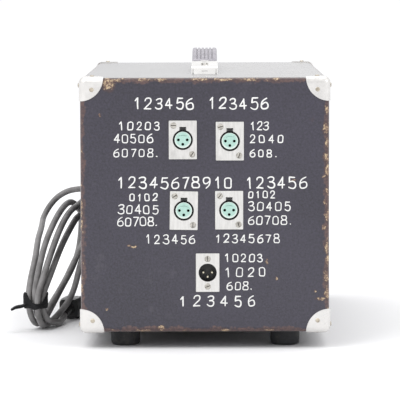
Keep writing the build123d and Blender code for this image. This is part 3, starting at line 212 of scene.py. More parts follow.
def covering_material():
    g = Graph("covering")
    x, y, z = g.xyz()
    ax = g.math("SUBTRACT", HX, g.math("ABSOLUTE", x))
    ay = g.math("SUBTRACT", HY, g.math("ABSOLUTE", y))
    az = g.math("SUBTRACT", HZ, g.math("ABSOLUTE", g.math("SUBTRACT", z, ZC)))
    edge = g.math("MAXIMUM", g.math("MINIMUM", ax, ay), g.math("MINIMUM", g.math("MAXIMUM", ax, ay), az))   # distance from the nearest outer edge

    # leathercloth: pebbled grain with finer pores, and slow changes of tone
    pebble = g.voronoi(620, "SMOOTH_F1", vec=g.vec("ADD", g.obj, g.vec("SCALE", g.noise(260, 2.0, out="Color"), scale=0.0016)))
    fine = g.noise(1500, 3.0, 0.65)
    speck = g.noise(430, 4.0, 0.75)
    slow = g.noise(9, 3.0, 0.55)
    scuff = g.noise(34, 6.0, 0.7)
    tone = g.math("ADD", g.rng(speck, 0.30, 0.72, 0.66, 1.36), g.rng(slow, 0.3, 0.7, -0.13, 0.11))
    tone = g.math("ADD", tone, g.rng(pebble, 0.1, 0.75, 0.16, -0.12))
    base = g.scale_col(COVER + (1.0,), tone)
    base = g.mix(g.rng(scuff, 0.58, 0.78, 0.0, 0.30), base, lin(88, 84, 92) + (1.0,))
    base = g.mix(g.rng(g.noise(55, 5.0, 0.7, vec=g.vec("ADD", g.obj, (3.1, 1.7, 0.4))), 0.66, 0.80, 0.0, 0.35), base, lin(74, 54, 56) + (1.0,))

    # fine dust and a painted reflection on the upward face, lighter towards one side (+x)
    nz = g.xyz(g.t.nodes.new("ShaderNodeNewGeometry").outputs["Normal"])[2]
    reflection_side = g.math("ADD", x, g.math("MULTIPLY", g.math("SUBTRACT", g.noise(14, 4.0, 0.6), 0.5), 0.09))
    dust_and_reflection = g.math("MULTIPLY", g.rng(nz, 0.90, 0.99), g.rng(reflection_side, -0.13, 0.13, 0.13, 0.34, False))
    dust_and_reflection = g.math("MULTIPLY", dust_and_reflection, g.rng(g.noise(46, 6.0, 0.72), 0.28, 0.68, 0.60, 1.15))
    base = g.mix(dust_and_reflection, base, lin(196, 194, 190) + (1.0,))

    # along the edges the colour is rubbed to red-brown, in a ragged band
    rag = g.noise(75, 5.0, 0.65)
    rag2 = g.noise(330, 4.0, 0.7)
    reach = g.math("ADD", g.rng(rag, 0.28, 0.76, 0.0010, 0.0084, False), g.math("MULTIPLY", g.math("SUBTRACT", rag2, 0.5), 0.0035))
    rub = g.rng(g.math("SUBTRACT", reach, edge), -0.0009, 0.0010)
    brown = g.mix(g.rng(rag2, 0.35, 0.65), lin(64, 48, 50) + (1.0,), lin(98, 74, 69) + (1.0,))
    col = g.mix(g.math("MULTIPLY", rub, 0.86), base, brown)

    # chips down to the tan backing and the wood
    warp = g.vec("SCALE", g.vec("SUBTRACT", g.noise(210, 4.0, 0.7, out="Color"), (0.5, 0.5, 0.5)), scale=0.0075)
    q = g.vec("ADD", g.obj, warp)
    field = None
    for c, r in CHIPS:
        d = g.vec("LENGTH", g.vec("MULTIPLY_ADD", q, tuple(1000.0 / v for v in r), tuple(-p / v for p, v in zip(c, r))))
        field = d if field is None else g.math("MINIMUM", field, d)
    chip = g.rng(g.math("ADD", field, g.rng(g.noise(520, 4.0, 0.75), 0.3, 0.7, -0.22, 0.42, False)), 1.12, 0.84)
    ragged = g.math("MULTIPLY", g.rng(g.noise(120, 4.0, 0.7, vec=g.vec("ADD", g.obj, (7.3, 2.2, 5.1))), 0.60, 0.655), g.rng(edge, 0.0040, 0.0022))
    chip = g.math("MAXIMUM", chip, ragged)
    rim = g.math("MAXIMUM", g.rng(field, 1.55, 1.05), g.math("MULTIPLY", ragged, 1.0))
    wood = g.mix(g.rng(g.noise(700, 3.0, 0.7), 0.3, 0.7), lin(146, 116, 88) + (1.0,), lin(214, 194, 158) + (1.0,))
    wood = g.mix(g.rng(rag2, 0.62, 0.42), wood, lin(92, 68, 60) + (1.0,))
    col = g.mix(g.math("MULTIPLY", rim, 0.8), col, lin(62, 44, 45) + (1.0,))
    col = g.mix(chip, col, wood)

    rough = g.rng(speck, 0.3, 0.7, 0.40, 0.54)
    rough = g.math("ADD", rough, g.math("MULTIPLY", g.math("MAXIMUM", rub, chip), 0.25), clamp=True)
    h = g.math("ADD", g.math("MULTIPLY", pebble, -0.55), g.math("MULTIPLY", fine, 0.35))
    h = g.math("SUBTRACT", h, g.math("MULTIPLY", chip, 2.2))
    h = g.math("SUBTRACT", h, g.math("MULTIPLY", rub, 0.35))
    g.set(Base_Color=col, Roughness=rough, Normal=g.bump(h, 0.32, 0.00035))
    g.b.inputs["Specular IOR Level"].default_value = 0.15
    g.b.inputs["Coat Weight"].default_value = 1.0
    g.b.inputs["Coat Roughness"].default_value = 0.22
    return g.m


COVER = lin(45, 42, 55)


def nickel_material(name="nickel", tone=(0.78, 0.765, 0.745), rough=0.30):
    g = Graph(name)
    cloud = g.noise(38, 5.0, 0.65)
    spots = g.noise(330, 5.0, 0.75)
    c = g.mix(g.rng(cloud, 0.35, 0.7), tuple(v * 0.86 for v in tone) + (1.0,), tone + (1.0,))
    c = g.mix(g.rng(spots, 0.60, 0.76, 0.0, 0.42), c, (0.26, 0.22, 0.17, 1.0))
    scr = g.noise(60, 3.0, 0.6, vec=g.vec("MULTIPLY", g.obj, (1.0, 9.0, 26.0)))
    r = g.math("ADD", g.rng(cloud, 0.3, 0.7, rough - 0.06, rough + 0.12), g.rng(scr, 0.55, 0.75, 0.0, 0.18))
    g.set(Base_Color=c, Roughness=r, Normal=g.bump(g.math("ADD", scr, g.noise(90, 2.0)), 0.10, 0.0003))
    g.b.inputs["Metallic"].default_value = 1.0
    return g.m


def brushed_material(name, tone, rough, stretch, dark=0.6):
    g = Graph(name)
    lines = g.noise(500, 4.0, 0.6, vec=g.vec("MULTIPLY", g.obj, stretch))
    cloud = g.noise(60, 4.0, 0.6)
    c = g.mix(g.rng(lines, 0.3, 0.7), tuple(v * 0.86 for v in tone) + (1.0,), tone + (1.0,))
    c = g.mix(g.rng(cloud, 0.55, 0.8, 0.0, 0.4), c, tuple(v * dark for v in tone) + (1.0,))
    g.set(Base_Color=c, Roughness=g.rng(lines, 0.3, 0.7, rough - 0.05, rough + 0.08), Normal=g.bump(lines, 0.12, 0.0002))
    g.b.inputs["Metallic"].default_value = 1.0
    return g.m


def vinyl_material():
    g = Graph("strap_vinyl")
    grain = g.voronoi(1100, "SMOOTH_F1")
    wearm = g.noise(90, 5.0, 0.7)
    c = g.mix(g.rng(wearm, 0.35, 0.68), lin(138, 135, 143) + (1.0,), lin(168, 164, 171) + (1.0,))
    c = g.mix(g.rng(g.noise(240, 4.0, 0.7), 0.60, 0.76, 0.0, 0.5), c, lin(84, 78, 80) + (1.0,))
    g.set(Base_Color=c, Roughness=g.rng(wearm, 0.3, 0.7, 0.36, 0.5), Normal=g.bump(grain, 0.22, 0.0003))
    return g.m


def glass_material():
    g = Graph("meter_glass")
    g.set(Roughness=g.rng(g.noise(150, 4.0, 0.7), 0.4, 0.75, 0.02, 0.09))
    g.b.inputs["Base Color"].default_value = (0.96, 0.98, 0.97, 1.0)
    g.b.inputs["Transmission Weight"].default_value = 1.0
    g.b.inputs["IOR"].default_value = 1.46
    return g.m


def lead_material():
    g = Graph("lead_sheath")
    smear = g.noise(60, 5.0, 0.65)
    c = g.mix(g.rng(smear, 0.32, 0.7), lin(106, 104, 104) + (1.0,), lin(138, 136, 136) + (1.0,))
    c = g.mix(g.rng(g.noise(420, 5.0, 0.75), 0.60, 0.76, 0.0, 0.55), c, lin(74, 71, 66) + (1.0,))
    g.set(Base_Color=c, Roughness=g.rng(smear, 0.3, 0.7, 0.40, 0.56), Normal=g.bump(g.noise(800, 3.0, 0.6), 0.12, 0.0002))
    return g.m


def hook_loop_material():
    g = Graph("hook_and_loop")
    pile = g.noise(1900, 4.0, 0.8)
    c = g.mix(g.rng(pile, 0.35, 0.75), (0.004, 0.004, 0.005, 1.0), (0.018, 0.018, 0.020, 1.0))
    c = g.mix(g.rng(g.noise(500, 3.0, 0.7), 0.68, 0.80, 0.0, 0.35), c, (0.07, 0.065, 0.06, 1.0))
    g.set(Base_Color=c, Roughness=g.rng(pile, 0.3, 0.7, 0.82, 0.98), Normal=g.bump(pile, 0.8, 0.0008))
    g.b.inputs["Specular IOR Level"].default_value = 0.2
    g.b.inputs["Sheen Weight"].default_value = 0.06
    g.b.inputs["Sheen Roughness"].default_value = 0.6
    return g.m


def panel_material():
    g = Graph("panel_enamel")
    c = g.mix(g.rng(g.noise(70, 4.0, 0.6), 0.35, 0.7), lin(46, 48, 52) + (1.0,), lin(58, 60, 64) + (1.0,))
    c = g.mix(g.rng(g.noise(300, 5.0, 0.8), 0.67, 0.76, 0.0, 0.7), c, lin(120, 120, 120) + (1.0,))
    ham = g.voronoi(360, "SMOOTH_F1")
    g.set(Base_Color=c, Roughness=g.rng(g.noise(200, 4.0, 0.7), 0.3, 0.7, 0.30, 0.44), Normal=g.bump(ham, 0.16, 0.0003))
    return g.m


def laminations_material():
    g = Graph("laminations")
    x, y, z = g.xyz()
    wave = g.math("SINE", g.math("MULTIPLY", y, 2 * math.pi / 0.0007))
    c = g.mix(g.rng(wave, -0.6, 0.6), (0.05, 0.05, 0.055, 1.0), (0.16, 0.15, 0.15, 1.0))
    c = g.mix(g.rng(g.noise(120, 5.0, 0.7), 0.6, 0.76, 0.0, 0.7), c, lin(110, 62, 34) + (1.0,))
    g.set(Base_Color=c, Roughness=g.rng(g.noise(240, 3.0), 0.3, 0.7, 0.4, 0.6), Normal=g.bump(wave, 0.2, 0.0003))
    g.b.inputs["Metallic"].default_value = 0.4
    return g.m


def winding_material():
    g = Graph("winding_tape")
    x, y, z = g.xyz()
    lap = g.math("FRACT", g.math("MULTIPLY", g.math("ADD", z, g.math("MULTIPLY", x, 0.18)), 1 / 0.009))
    c = g.mix(g.rng(lap, 0.0, 0.2), lin(120, 88, 30) + (1.0,), lin(186, 146, 62) + (1.0,))
    c = g.scale_col(c, g.rng(g.noise(160, 4.0, 0.7), 0.3, 0.7, 0.8, 1.1))
    g.set(Base_Color=c, Roughness=g.rng(g.noise(240, 3.0), 0.3, 0.7, 0.3, 0.45), Normal=g.bump(lap, 0.3, 0.0004))
    return g.m


def board_material():
    g = Graph("circuit_board")
    tr = g.voronoi(190, "DISTANCE_TO_EDGE", vec=g.vec("MULTIPLY", g.obj, (0.2, 1.0, 1.0)))
    c = g.mix(g.rng(tr, 0.05, 0.09), lin(44, 96, 56) + (1.0,), lin(24, 66, 38) + (1.0,))
    g.set(Base_Color=c, Roughness=g.rng(g.noise(300, 3.0), 0.3, 0.7, 0.28, 0.42), Normal=g.bump(tr, 0.2, 0.0002))
    return g.m


def insert_material():
    g = Graph("insert_mint")
    x, y, z = g.xyz()
    near = None
    for cx, cz in SOCKETS:
        d = g.math("SQRT", g.math("ADD", g.math("POWER", g.math("SUBTRACT", x, cx), 2.0), g.math("POWER", g.math("SUBTRACT", z, cz + 0.0006), 2.0)))
        near = d if near is None else g.math("MINIMUM", near, d)
    tone = g.rng(g.noise(300, 4.0, 0.6), 0.3, 0.7, 0.92, 1.04)
    c = g.scale_col(lin(164, 198, 187) + (1.0,), tone)
    c = g.mix(g.rng(near, 0.0066, 0.0075, 0.0, 0.85), c, lin(206, 216, 210) + (1.0,))
    c = g.mix(g.rng(g.noise(700, 5.0, 0.75), 0.62, 0.76, 0.0, 0.35), c, lin(120, 140, 130) + (1.0,))
    g.set(Base_Color=c, Roughness=g.rng(g.noise(500, 3.0), 0.3, 0.7, 0.28, 0.4), Normal=g.bump(g.noise(1500, 2.0), 0.08, 0.0002))
    return g.m


M = {
    "case_covering": covering_material(),
    "nickel": nickel_material(),
    "dark_brass": stuff("aged_brass", (0.50, 0.45, 0.37), 0.36, 1.0, 0.25, 260, 0.2, 900, dirt=(lin(84, 70, 54), 0.8)),
    "foot_rubber": stuff("foot_rubber", lin(42, 42, 45), 0.72, 0.0, 0.25, 120, 0.4, 1300, 0.0004, dirt=(lin(92, 86, 78), 0.35)),
    "zinc_steel": stuff("zinc_steel", (0.50, 0.48, 0.44), 0.36, 1.0, 0.3, 420, 0.15, 1200, dirt=((0.16, 0.13, 0.10), 0.8)),
    "socket_metal": brushed_material("socket_metal", (0.71, 0.70, 0.68), 0.34, (1.0, 1.0, 0.16)),
    "insert_mint": insert_material(),
    "black_plastic": stuff("black_moulding", lin(24, 24, 25), 0.38, 0.0, 0.2, 260, 0.22, 1600, dirt=(lin(58, 56, 54), 0.4)),
    "contact_metal": stuff("contact_metal", (0.70, 0.66, 0.52), 0.28, 1.0, 0.1, 400, 0.05, 1500),
    "strap_vinyl": vinyl_material(),
    "panel_paint": panel_material(),
    "chassis_metal": brushed_material("chassis_metal", (0.55, 0.56, 0.57), 0.42, (1.0, 0.08, 1.0)),
    "core_steel": laminations_material(),
    "winding_tape": winding_material(),
    "board_green": board_material(),
    "component_black": stuff("board_components", lin(34, 36, 44), 0.4, 0.0, 0.3, 90, 0.1, 1200),
    "knob_black": stuff("knob_phenolic", lin(20, 20, 21), 0.2, 0.0, 0.2, 200, 0.06, 1500, coat=0.3, dirt=(lin(60, 58, 54), 0.25)),
    "meter_glass": glass_material(),
    "needle_black": stuff("needle_paint", lin(18, 18, 18), 0.4, 0.0, 0.1, 900, 0.05, 2000),
    "lamp_red": stuff("lamp_lens", lin(190, 30, 22), 0.14, 0.0, 0.15, 500, 0.1, 900, coat=0.5),
    "lead_grey": lead_material(),
    "tie_fabric": hook_loop_material(),
    "back_paint": stuff("back_paint", lin(42, 42, 45), 0.55, 0.0, 0.2, 60, 0.3, 700, 0.0004, dirt=(lin(86, 82, 76), 0.35)),
}
M["paint_white"] = stuff("hand_paint_white", lin(226, 226, 224), 0.42, 0.0, 0.06, 420, 0.25, 1100, dirt=(lin(176, 172, 168), 0.35))
M["dial_cream"] = stuff("dial_cream", lin(232, 226, 204), 0.5, 0.0, 0.03, 60, 0.04, 1500, dirt=(lin(206, 190, 150), 0.3))
M["dial_ink"] = stuff("dial_ink", lin(26, 26, 28), 0.5, 0.0, 0.1, 500, 0.04, 1500)
M["dial_red"] = stuff("dial_red", lin(176, 36, 28), 0.5, 0.0, 0.1, 500, 0.04, 1500)
M["panel_white"] = stuff("panel_white", lin(222, 222, 216), 0.45, 0.0, 0.06, 300, 0.05, 1500)
# painted shade for the screw slots: a dark brown stuff
M["slot_painted_shade"] = stuff("slot_painted_shade", lin(44, 38, 32), 0.8, 0.0, 0.2, 900, 0.2, 1500)
M["boot_grey"] = stuff("boot_grey", lin(58, 58, 58), 0.48, 0.0, 0.15, 200, 0.2, 1300)
M["plug_black"] = stuff("plug_black", lin(22, 22, 23), 0.34, 0.0, 0.2, 160, 0.3, 1200, dirt=(lin(70, 66, 60), 0.4))
M["prong_brass"] = stuff("prong_brass", (0.72, 0.60, 0.34), 0.25, 1.0, 0.15, 300, 0.05, 1500)

for sp in frame["record"]["subparts"]:
    o = N[sp["node"]]
    m = M[sp["material_slot"]]
    if not o.material_slots:
        o.data.materials.append(m)
    for s in o.material_slots:
        s.material = m
# painted shade: the recessed female contacts get a near-black metal so the holes read dark
M["contact_dark"] = stuff("contact_dark", (0.05, 0.045, 0.035), 0.5, 0.6, 0.2, 700, 0.05, 1500)
# a lighter copy of the nickel, a painted highlight, for the handle's end caps and screws
M["nickel_bright"] = nickel_material("nickel_bright", (0.94, 0.93, 0.91), 0.22)
for name, m in (("female_socket_seals", "black_plastic"), ("rack_screws", "nickel"), ("female_socket_contacts", "contact_dark"), ("handle_screws", "nickel_bright"), ("handle_end_caps", "nickel_bright")):
    for s in N[name].material_slots:
        s.material = M[m]


# ================================================================ pieces
def mesh_piece(name, verts, faces, mat, body="case", smooth=True):
    me = bpy.data.meshes.new(name)
    me.from_pydata([tuple(v) for v in verts], [], faces)
    me.validate()
    bm = bmesh.new()
    bm.from_mesh(me)
    bmesh.ops.recalc_face_normals(bm, faces=bm.faces)
    bm.to_mesh(me)
    bm.free()
    for p in me.polygons:
        p.use_smooth = smooth
    me.materials.append(M[mat])
    o = bpy.data.objects.new(name, me)
    bpy.context.scene.collection.objects.link(o)
    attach(o, body)
    return o


def tube(path, radii, sides=10, squash_axis=None, squash=1.0):
    """closed tube round a path of Vectors; flattened along one direction where asked"""
    verts, faces = [], []
    n = len(path)
    up = None
    for i, p in enumerate(path):
        a = path[max(i - 1, 0)]
        b = path[min(i + 1, n - 1)]
        t = (b - a).normalized()
        if squash_axis is not None:
            u = squash_axis
            v = t.cross(u).normalized()
        else:
            if up is None:
                up = Vector((0, 0, 1)) if abs(t.z) < 0.9 else Vector((0, 1, 0))
            u = (up - t * up.dot(t)).normalized()
            up = u
            v = t.cross(u).normalized()
        for k in range(sides):
            w = 2 * math.pi * k / sides
            verts.append(p + u * (math.sin(w) * radii[i] * squash) + v * (math.cos(w) * radii[i]))
    for i in range(n - 1):
        for k in range(sides):
            a, b = i * sides + k, i * sides + (k + 1) % sides
            faces.append((a, b, b + sides, a + sides))
    faces.append(tuple(range(sides))[::-1])
    faces.append(tuple((n - 1) * sides + k for k in range(sides)))
    return verts, faces


def smooth_line(pts, per=5):
    """points along a quadratic B-spline through a stroke's corners"""
    if len(pts) == 2:
        return [pts[0].lerp(pts[1], i / 3) for i in range(4)]
    out = []
    P = pts
    k = len(P)
    for i in range(k - 2):
        a = P[i] if i == 0 else (P[i] + P[i + 1]) / 2
        b = P[i + 1]
        c = P[i + 2] if i == k - 3 else (P[i + 1] + P[i + 2]) / 2
        for j in range(per + (1 if i == k - 3 else 0)):
            t = j / per
            out.append(a * (1 - t) ** 2 + b * (2 * t * (1 - t)) + c * t * t)
    return out


# strokes of the numerals, in a cell 0.6 wide and 1 high
DIGITS = {
    "0": [[(0.3, 1), (-0.02, 0.98), (-0.02, 0.5), (-0.02, 0.02), (0.3, 0), (0.62, 0.02), (0.62, 0.5), (0.62, 0.98), (0.3, 1)]],
    "1": [[(0.12, 0.76), (0.34, 1.0)], [(0.34, 1.0), (0.33, 0.5), (0.34, 0)]],
    "2": [[(0.03, 0.78), (0.06, 1.04), (0.58, 1.08), (0.62, 0.62), (0.3, 0.34), (0.02, 0.01)], [(0.02, 0.01), (0.3, 0.03), (0.62, 0.01)]],
    "3": [[(0.04, 0.9), (0.2, 1.05), (0.62, 1.0), (0.56, 0.56), (0.22, 0.54)], [(0.22, 0.54), (0.64, 0.56), (0.66, 0.0), (0.16, -0.06), (0.0, 0.14)]],
    "4": [[(0.44, 0), (0.44, 0.5), (0.43, 1.0)], [(0.43, 1.0), (0.2, 0.6), (0.0, 0.3)], [(0.0, 0.3), (0.3, 0.31), (0.62, 0.3)]],
    "5": [[(0.56, 1.0), (0.3, 0.98), (0.1, 1.0)], [(0.1, 1.0), (0.07, 0.75), (0.06, 0.55)], [(0.06, 0.55), (0.4, 0.7), (0.68, 0.4), (0.55, -0.06), (0.15, -0.04), (0.0, 0.1)]],
    "6": [[(0.52, 0.98), (0.12, 0.82), (-0.04, 0.4), (0.04, 0.0), (0.36, -0.04), (0.66, 0.1), (0.58, 0.54), (0.3, 0.58), (0.06, 0.42)]],
    "7": [[(0.02, 0.98), (0.3, 1.0), (0.6, 0.98)], [(0.6, 0.98), (0.38, 0.55), (0.24, 0)]],
    "8": [[(0.3, 0.54), (0.02, 0.6), (0.02, 1.02), (0.3, 1.02), (0.58, 1.02), (0.58, 0.6), (0.3, 0.54), (-0.04, 0.46), (-0.02, -0.02), (0.3, -0.01), (0.62, -0.02), (0.64, 0.46), (0.3, 0.54)]],
    "9": [[(0.56, 0.66), (0.4, 0.42), (0.04, 0.44), (-0.02, 0.92), (0.3, 1.06), (0.6, 0.98), (0.62, 0.5), (0.5, 0.2), (0.3, 0)]],
    "-": [[(0.08, 0.5), (0.3, 0.51), (0.52, 0.5)]],
    "+": [[(0.06, 0.5), (0.3, 0.51), (0.54, 0.5)], [(0.3, 0.76), (0.3, 0.5), (0.3, 0.24)]],
    ".": [[(0.02, 0.05), (0.08, 0.04)]],
}


def strokes_mesh(items, at, width, lift=0.22, seed=1, wobble=0.028, vary=0.2):
    """items are (text, u0, v0, pitch, height) on a plane; at(u, v) gives (point, u dir, v dir, normal). Returns one mesh of rounded brush strokes."""
    rnd = random.Random(seed)
    V, F = [], []
    for text, u0, v0, pitch, h in items:
        for i, ch in enumerate(text):
            if ch == " ":
                continue
            jx, jy, sc, lean = rnd.uniform(-0.03, 0.03), rnd.uniform(-0.03, 0.03), rnd.uniform(0.95, 1.05), rnd.uniform(-0.05, 0.08)
            for st in DIGITS[ch]:
                pts = []
                for a, b in st:
                    a, b = a * sc + jx + rnd.uniform(-wobble, wobble) + lean * b, b * sc + jy + rnd.uniform(-wobble, wobble)
                    u, v = u0 + i * pitch + a * min(h, pitch * 1.28), v0 + b * h
                    p, du, dv, nn = at(u, v)
                    pts.append(p)
                line = smooth_line(pts)
                w = width * rnd.uniform(0.9, 1.1)
                k = len(line)
                rad = [w / 2 * (0.86 + vary * math.sin(3.0 * j / k + rnd.random() * 0.4)) for j in range(k)]
                # rounded ends
                t0, t1 = (line[0] - line[1]).normalized(), (line[-1] - line[-2]).normalized()
                line = [line[0] + t0 * w * 0.42, line[0] + t0 * w * 0.26] + line + [line[-1] + t1 * w * 0.26, line[-1] + t1 * w * 0.42]
                rad = [rad[0] * 0.35, rad[0] * 0.8] + rad + [rad[-1] * 0.8, rad[-1] * 0.35]
                vs, fs = tube(line, rad, 8, nn, lift)
                base = len(V)
                V += vs
                F += [tuple(q + base for q in f) for f in fs]
    return V, F


# ---- hand-painted numerals on the connector end: (text, x0, x1, z0, z1) in mm
ROWS = [
    ("123456 123456", -69.6, 60.5, 238.6, 248.6), ("10203", -84.5, -45.5, 217.9, 225.3), ("40506", -89.2, -52.0, 205.2, 213.4), ("60708.", -89.5, -43.5, 191.2, 198.8),
    ("123", 45.0, 62.5, 217.6, 225.0), ("2040", 45.0, 77.0, 204.8, 212.2), ("608.", 45.0, 74.0, 190.8, 197.6),
    ("12345678910 123456", -85.7, 98.0, 160.2, 170.6), ("0102", -73.9, -47.4, 147.7, 154.2), ("30405", -85.8, -47.4, 134.9, 143.2), ("60708.", -85.9, -44.0, 123.0, 131.2),
    ("0102", 43.0, 68.8, 150.3, 156.8), ("30405", 43.0, 83.5, 137.6, 145.8), ("60708.", 43.0, 88.5, 123.8, 132.0),
    ("123456", -58.5, -10.5, 105.2, 113.2), ("12345678", 10.6, 73.0, 106.0, 113.8),
    ("10203", 19.6, 56.4, 87.0, 94.2), ("1020", 20.2, 58.6, 72.4, 81.0), ("608.", 22.0, 49.6, 59.2, 66.6), ("123456", -25.2, 47.4, 43.0, 52.6),
]


def on_end(u, v):
    return Vector((u * MM, Y0 - 0.00002, v * MM)), Vector((1, 0, 0)), Vector((0, 0, 1)), Vector((0, -1, 0))


items = []
for text, x0, x1, z0, z1 in ROWS:
    h = z1 - z0
    n = len(text)
    cell = min(h, 7.4) * 0.6
    pitch = (x1 - x0 - cell) / max(n - 1, 1)
    items.append((text, x0, z0, pitch, h))


def end_strokes():
    V, F = [], []
    for i, it in enumerate(items):
        big = it[4] > 9.0
        v, f = strokes_mesh([it], on_end, (1.40 if big else 1.12) * MM, lift=0.16, seed=11 + i)
        base = len(V)
        V += v
        F += [tuple(q + base for q in g) for g in f]
    return V, F


V, F = end_strokes()
mesh_piece("painted_numerals", V, F, "paint_white")

# painted shade: dark strips laid in the slots of the socket screws
V, F = [], []
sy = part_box("socket_screws")[0].y
spots = []
for i, (x, z) in enumerate(SOCKETS):
    t = math.radians(0.9) if i == 2 else 0.0
    for j, (dx, dz) in enumerate(((-0.0092, 0.0142), (0.0092, -0.0142))):
        spots.append((x + dx * math.cos(t) + dz * math.sin(t), z - dx * math.sin(t) + dz * math.cos(t), 17 * i + 55 * j))
spots += [(0.0026, 0.0900, 95), (0.0026, 0.0626, 18)]
for x, z, turn in spots:
    a = math.radians(turn)
    d = Vector((math.cos(a), 0, math.sin(a)))
    c = Vector((x, sy + 0.00072, z))
    vf = tube([c - d * 0.0027, c - d * 0.0022, c, c + d * 0.0022, c + d * 0.0027], [0.0002, 0.00036, 0.00036, 0.00036, 0.0002], 8, Vector((0, -1, 0)), 0.35)
    base = len(V)
    V += vf[0]
    F += [tuple(q + base for q in g) for g in vf[1]]
mesh_piece("slot_painted_shade", V, F, "slot_painted_shade")

# ---- control panel: scales round the knobs, marks at the switches, dials in the meters
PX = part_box("front_panel")[1].x


def on_panel(cy, cz, x):
    """u runs to the right as the panel is faced, which is +Y"""
    def f(u, v):
        return Vector((x, cy + u * MM, cz + v * MM)), Vector((0, 1, 0)), Vector((0, 0, 1)), Vector((1, 0, 0))
    return f


V, F = [], []


def put(vf):
    base = len(V)
    V.extend(vf[0])
    F.extend(tuple(q + base for q in g) for g in vf[1])


def mark(p, q, nrm, w, lift=0.22):
    t = (q - p).normalized()
    line = [p - t * w * 0.2, p] + [p.lerp(q, i / 3) for i in (1, 2)] + [q, q + t * w * 0.2]
    return tube(line, [w * 0.3, w / 2, w / 2, w / 2, w / 2, w * 0.3], 8, nrm, lift)


KNOBS = ["input_knob", "threshold_knob", "ratio_knob", "attack_knob", "release_knob", "output_knob"]
for k, name in enumerate(KNOBS):
    lo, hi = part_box(name)
    cy, cz = (lo.y + hi.y) / 2, (lo.z + hi.z) / 2
    for i in range(11):
        a = math.radians(-150 + 30 * i)
        s, c = math.sin(a), math.cos(a)
        r0, r1 = 0.0178, (0.0212 if i % 5 == 0 else 0.0200)
        put(mark(Vector((PX + 0.00002, cy + s * r0, cz + c * r0)), Vector((PX + 0.00002, cy + s * r1, cz + c * r1)), Vector((1, 0, 0)), 0.0007))
        txt = str(i)
        r2 = 0.0246
        at = on_panel(cy + s * r2, cz + c * r2, PX + 0.00002)
        h = 3.0
        wide = 0.6 * h * 0.9 + (len(txt) - 1) * h * 0.72
        put(strokes_mesh([(txt, -wide / 2, -h / 2, h * 0.78, h)], at, 0.00045, seed=100 + i, wobble=0.0, vary=0.02))
for name in ("bypass_lever", "meter_lever", "mains_lever"):
    lo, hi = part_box(name)
    cy = (lo.y + hi.y) / 2
    for txt, cz in (("1", 0.2085), ("0", 0.1765)):
        put(strokes_mesh([(txt, -1.0, -1.7, 3.0, 3.4)], on_panel(cy, cz, PX + 0.00002), 0.0005, seed=5, wobble=0.0, vary=0.02))
mesh_piece("panel_scales", V, F, "panel_white")

# a line inlaid on each knob's crown and side
for name in KNOBS:
    lo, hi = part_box(name)
    cy, cz, top = (lo.y + hi.y) / 2, (lo.z + hi.z) / 2, hi.x
    up = Vector((0, 0, 1))
    vf = mark(Vector((top + 0.00001, cy, cz + 0.0022)), Vector((top + 0.00001, cy, cz + 0.0094)), Vector((1, 0, 0)), 0.0013, 0.2)
    a, b = list(vf[0]), list(vf[1])
    s0, s1 = Vector((top - 0.0148, cy, cz + 0.01575)), Vector((top - 0.0148, cy, cz + 0.0122))
    v2 = mark(Vector((PX + 0.00392, cy, cz + 0.0118)), Vector((PX + 0.00392, cy, cz + 0.0150)), Vector((1, 0, 0)), 0.0013, 0.2)
    base = len(a)
    a += v2[0]
    b += [tuple(q + base for q in g) for g in v2[1]]
    mesh_piece(name + "_line", a, b, "panel_white", body=name)

# meter dials: a card behind each needle with an arc, ticks and numbers
NEEDLE_R = 0.046


def card(name, cy, cz, marks):
    # rounded card with a slightly rolled edge
    hw, hh, r = 0.0365, 0.0235, 0.002
    out = []
    for sx, sz, a0 in ((1, 1, 0), (-1, 1, 90), (-1, -1, 180), (1, -1, 270)):
        for j in range(5):
            a = math.radians(a0 + 90 * j / 4)
            out.append((sx * (hw - r) + r * math.cos(a), sz * (hh - r) + r * math.sin(a)))
    vs, fs = [], []
    n = len(out)
    x0 = PX + 0.00305
    for x, k in ((x0, 1.0), (x0 + 0.0004, 1.0), (x0 + 0.00055, 0.994)):
        vs += [Vector((x, cy + u * k, cz + 0.007 + v * k)) for u, v in out]
    for l in range(2):
        for j in range(n):
            a, b = l * n + j, l * n + (j + 1) % n
            fs.append((a, b, b + n, a + n))
    fs.append(tuple(range(n))[::-1])
    fs.append(tuple(range(2 * n, 3 * n)))
    mesh_piece(name + "_card", vs, fs, "dial_cream", smooth=False)
    x = x0 + 0.00056
    piv = Vector((x, cy, cz - 0.023))
    V.clear()
    F.clear()

    def at_angle(deg, r):
        a = math.radians(deg)
        return piv + Vector((0, math.sin(a) * r, math.cos(a) * r))

    arc = [at_angle(-45 + 90 * i / 40, 0.0405) for i in range(41)]
    put(tube(arc, [0.00022] * 41, 8, Vector((1, 0, 0)), 0.3))
    for i in range(len(marks) * 2 - 1):
        d = -42 + 84 * i / (len(marks) * 2 - 2)
        put(mark(at_angle(d, 0.0405), at_angle(d, 0.0446 if i % 2 == 0 else 0.0430), Vector((1, 0, 0)), 0.0004, 0.3))
    for i, txt in enumerate(marks):
        d = -42 + 84 * i / (len(marks) - 1)
        c = at_angle(d, 0.0474)
        h = 2.6
        wide = 0.6 * h * 0.9 + (len(txt) - 1) * h * 0.7
        put(strokes_mesh([(txt, -wide / 2, -h / 2, h * 0.76, h)], on_panel(c.y, c.z, x), 0.00036, seed=7, wobble=0.0, vary=0.02))
    mesh_piece(name + "_scale", list(V), list(F), "dial_ink")
    V.clear()
    F.clear()
    red = [at_angle(24 + 18 * i / 12, 0.0394) for i in range(13)]
    put(tube(red, [0.0005] * 13, 8, Vector((1, 0, 0)), 0.2))
    mesh_piece(name + "_red_arc", list(V), list(F), "dial_red")


card("reduction_meter", -0.142, 0.190, ["0", "5", "10", "15", "20"])
card("output_meter", -0.040, 0.190, ["0", "2", "4", "6", "8"])

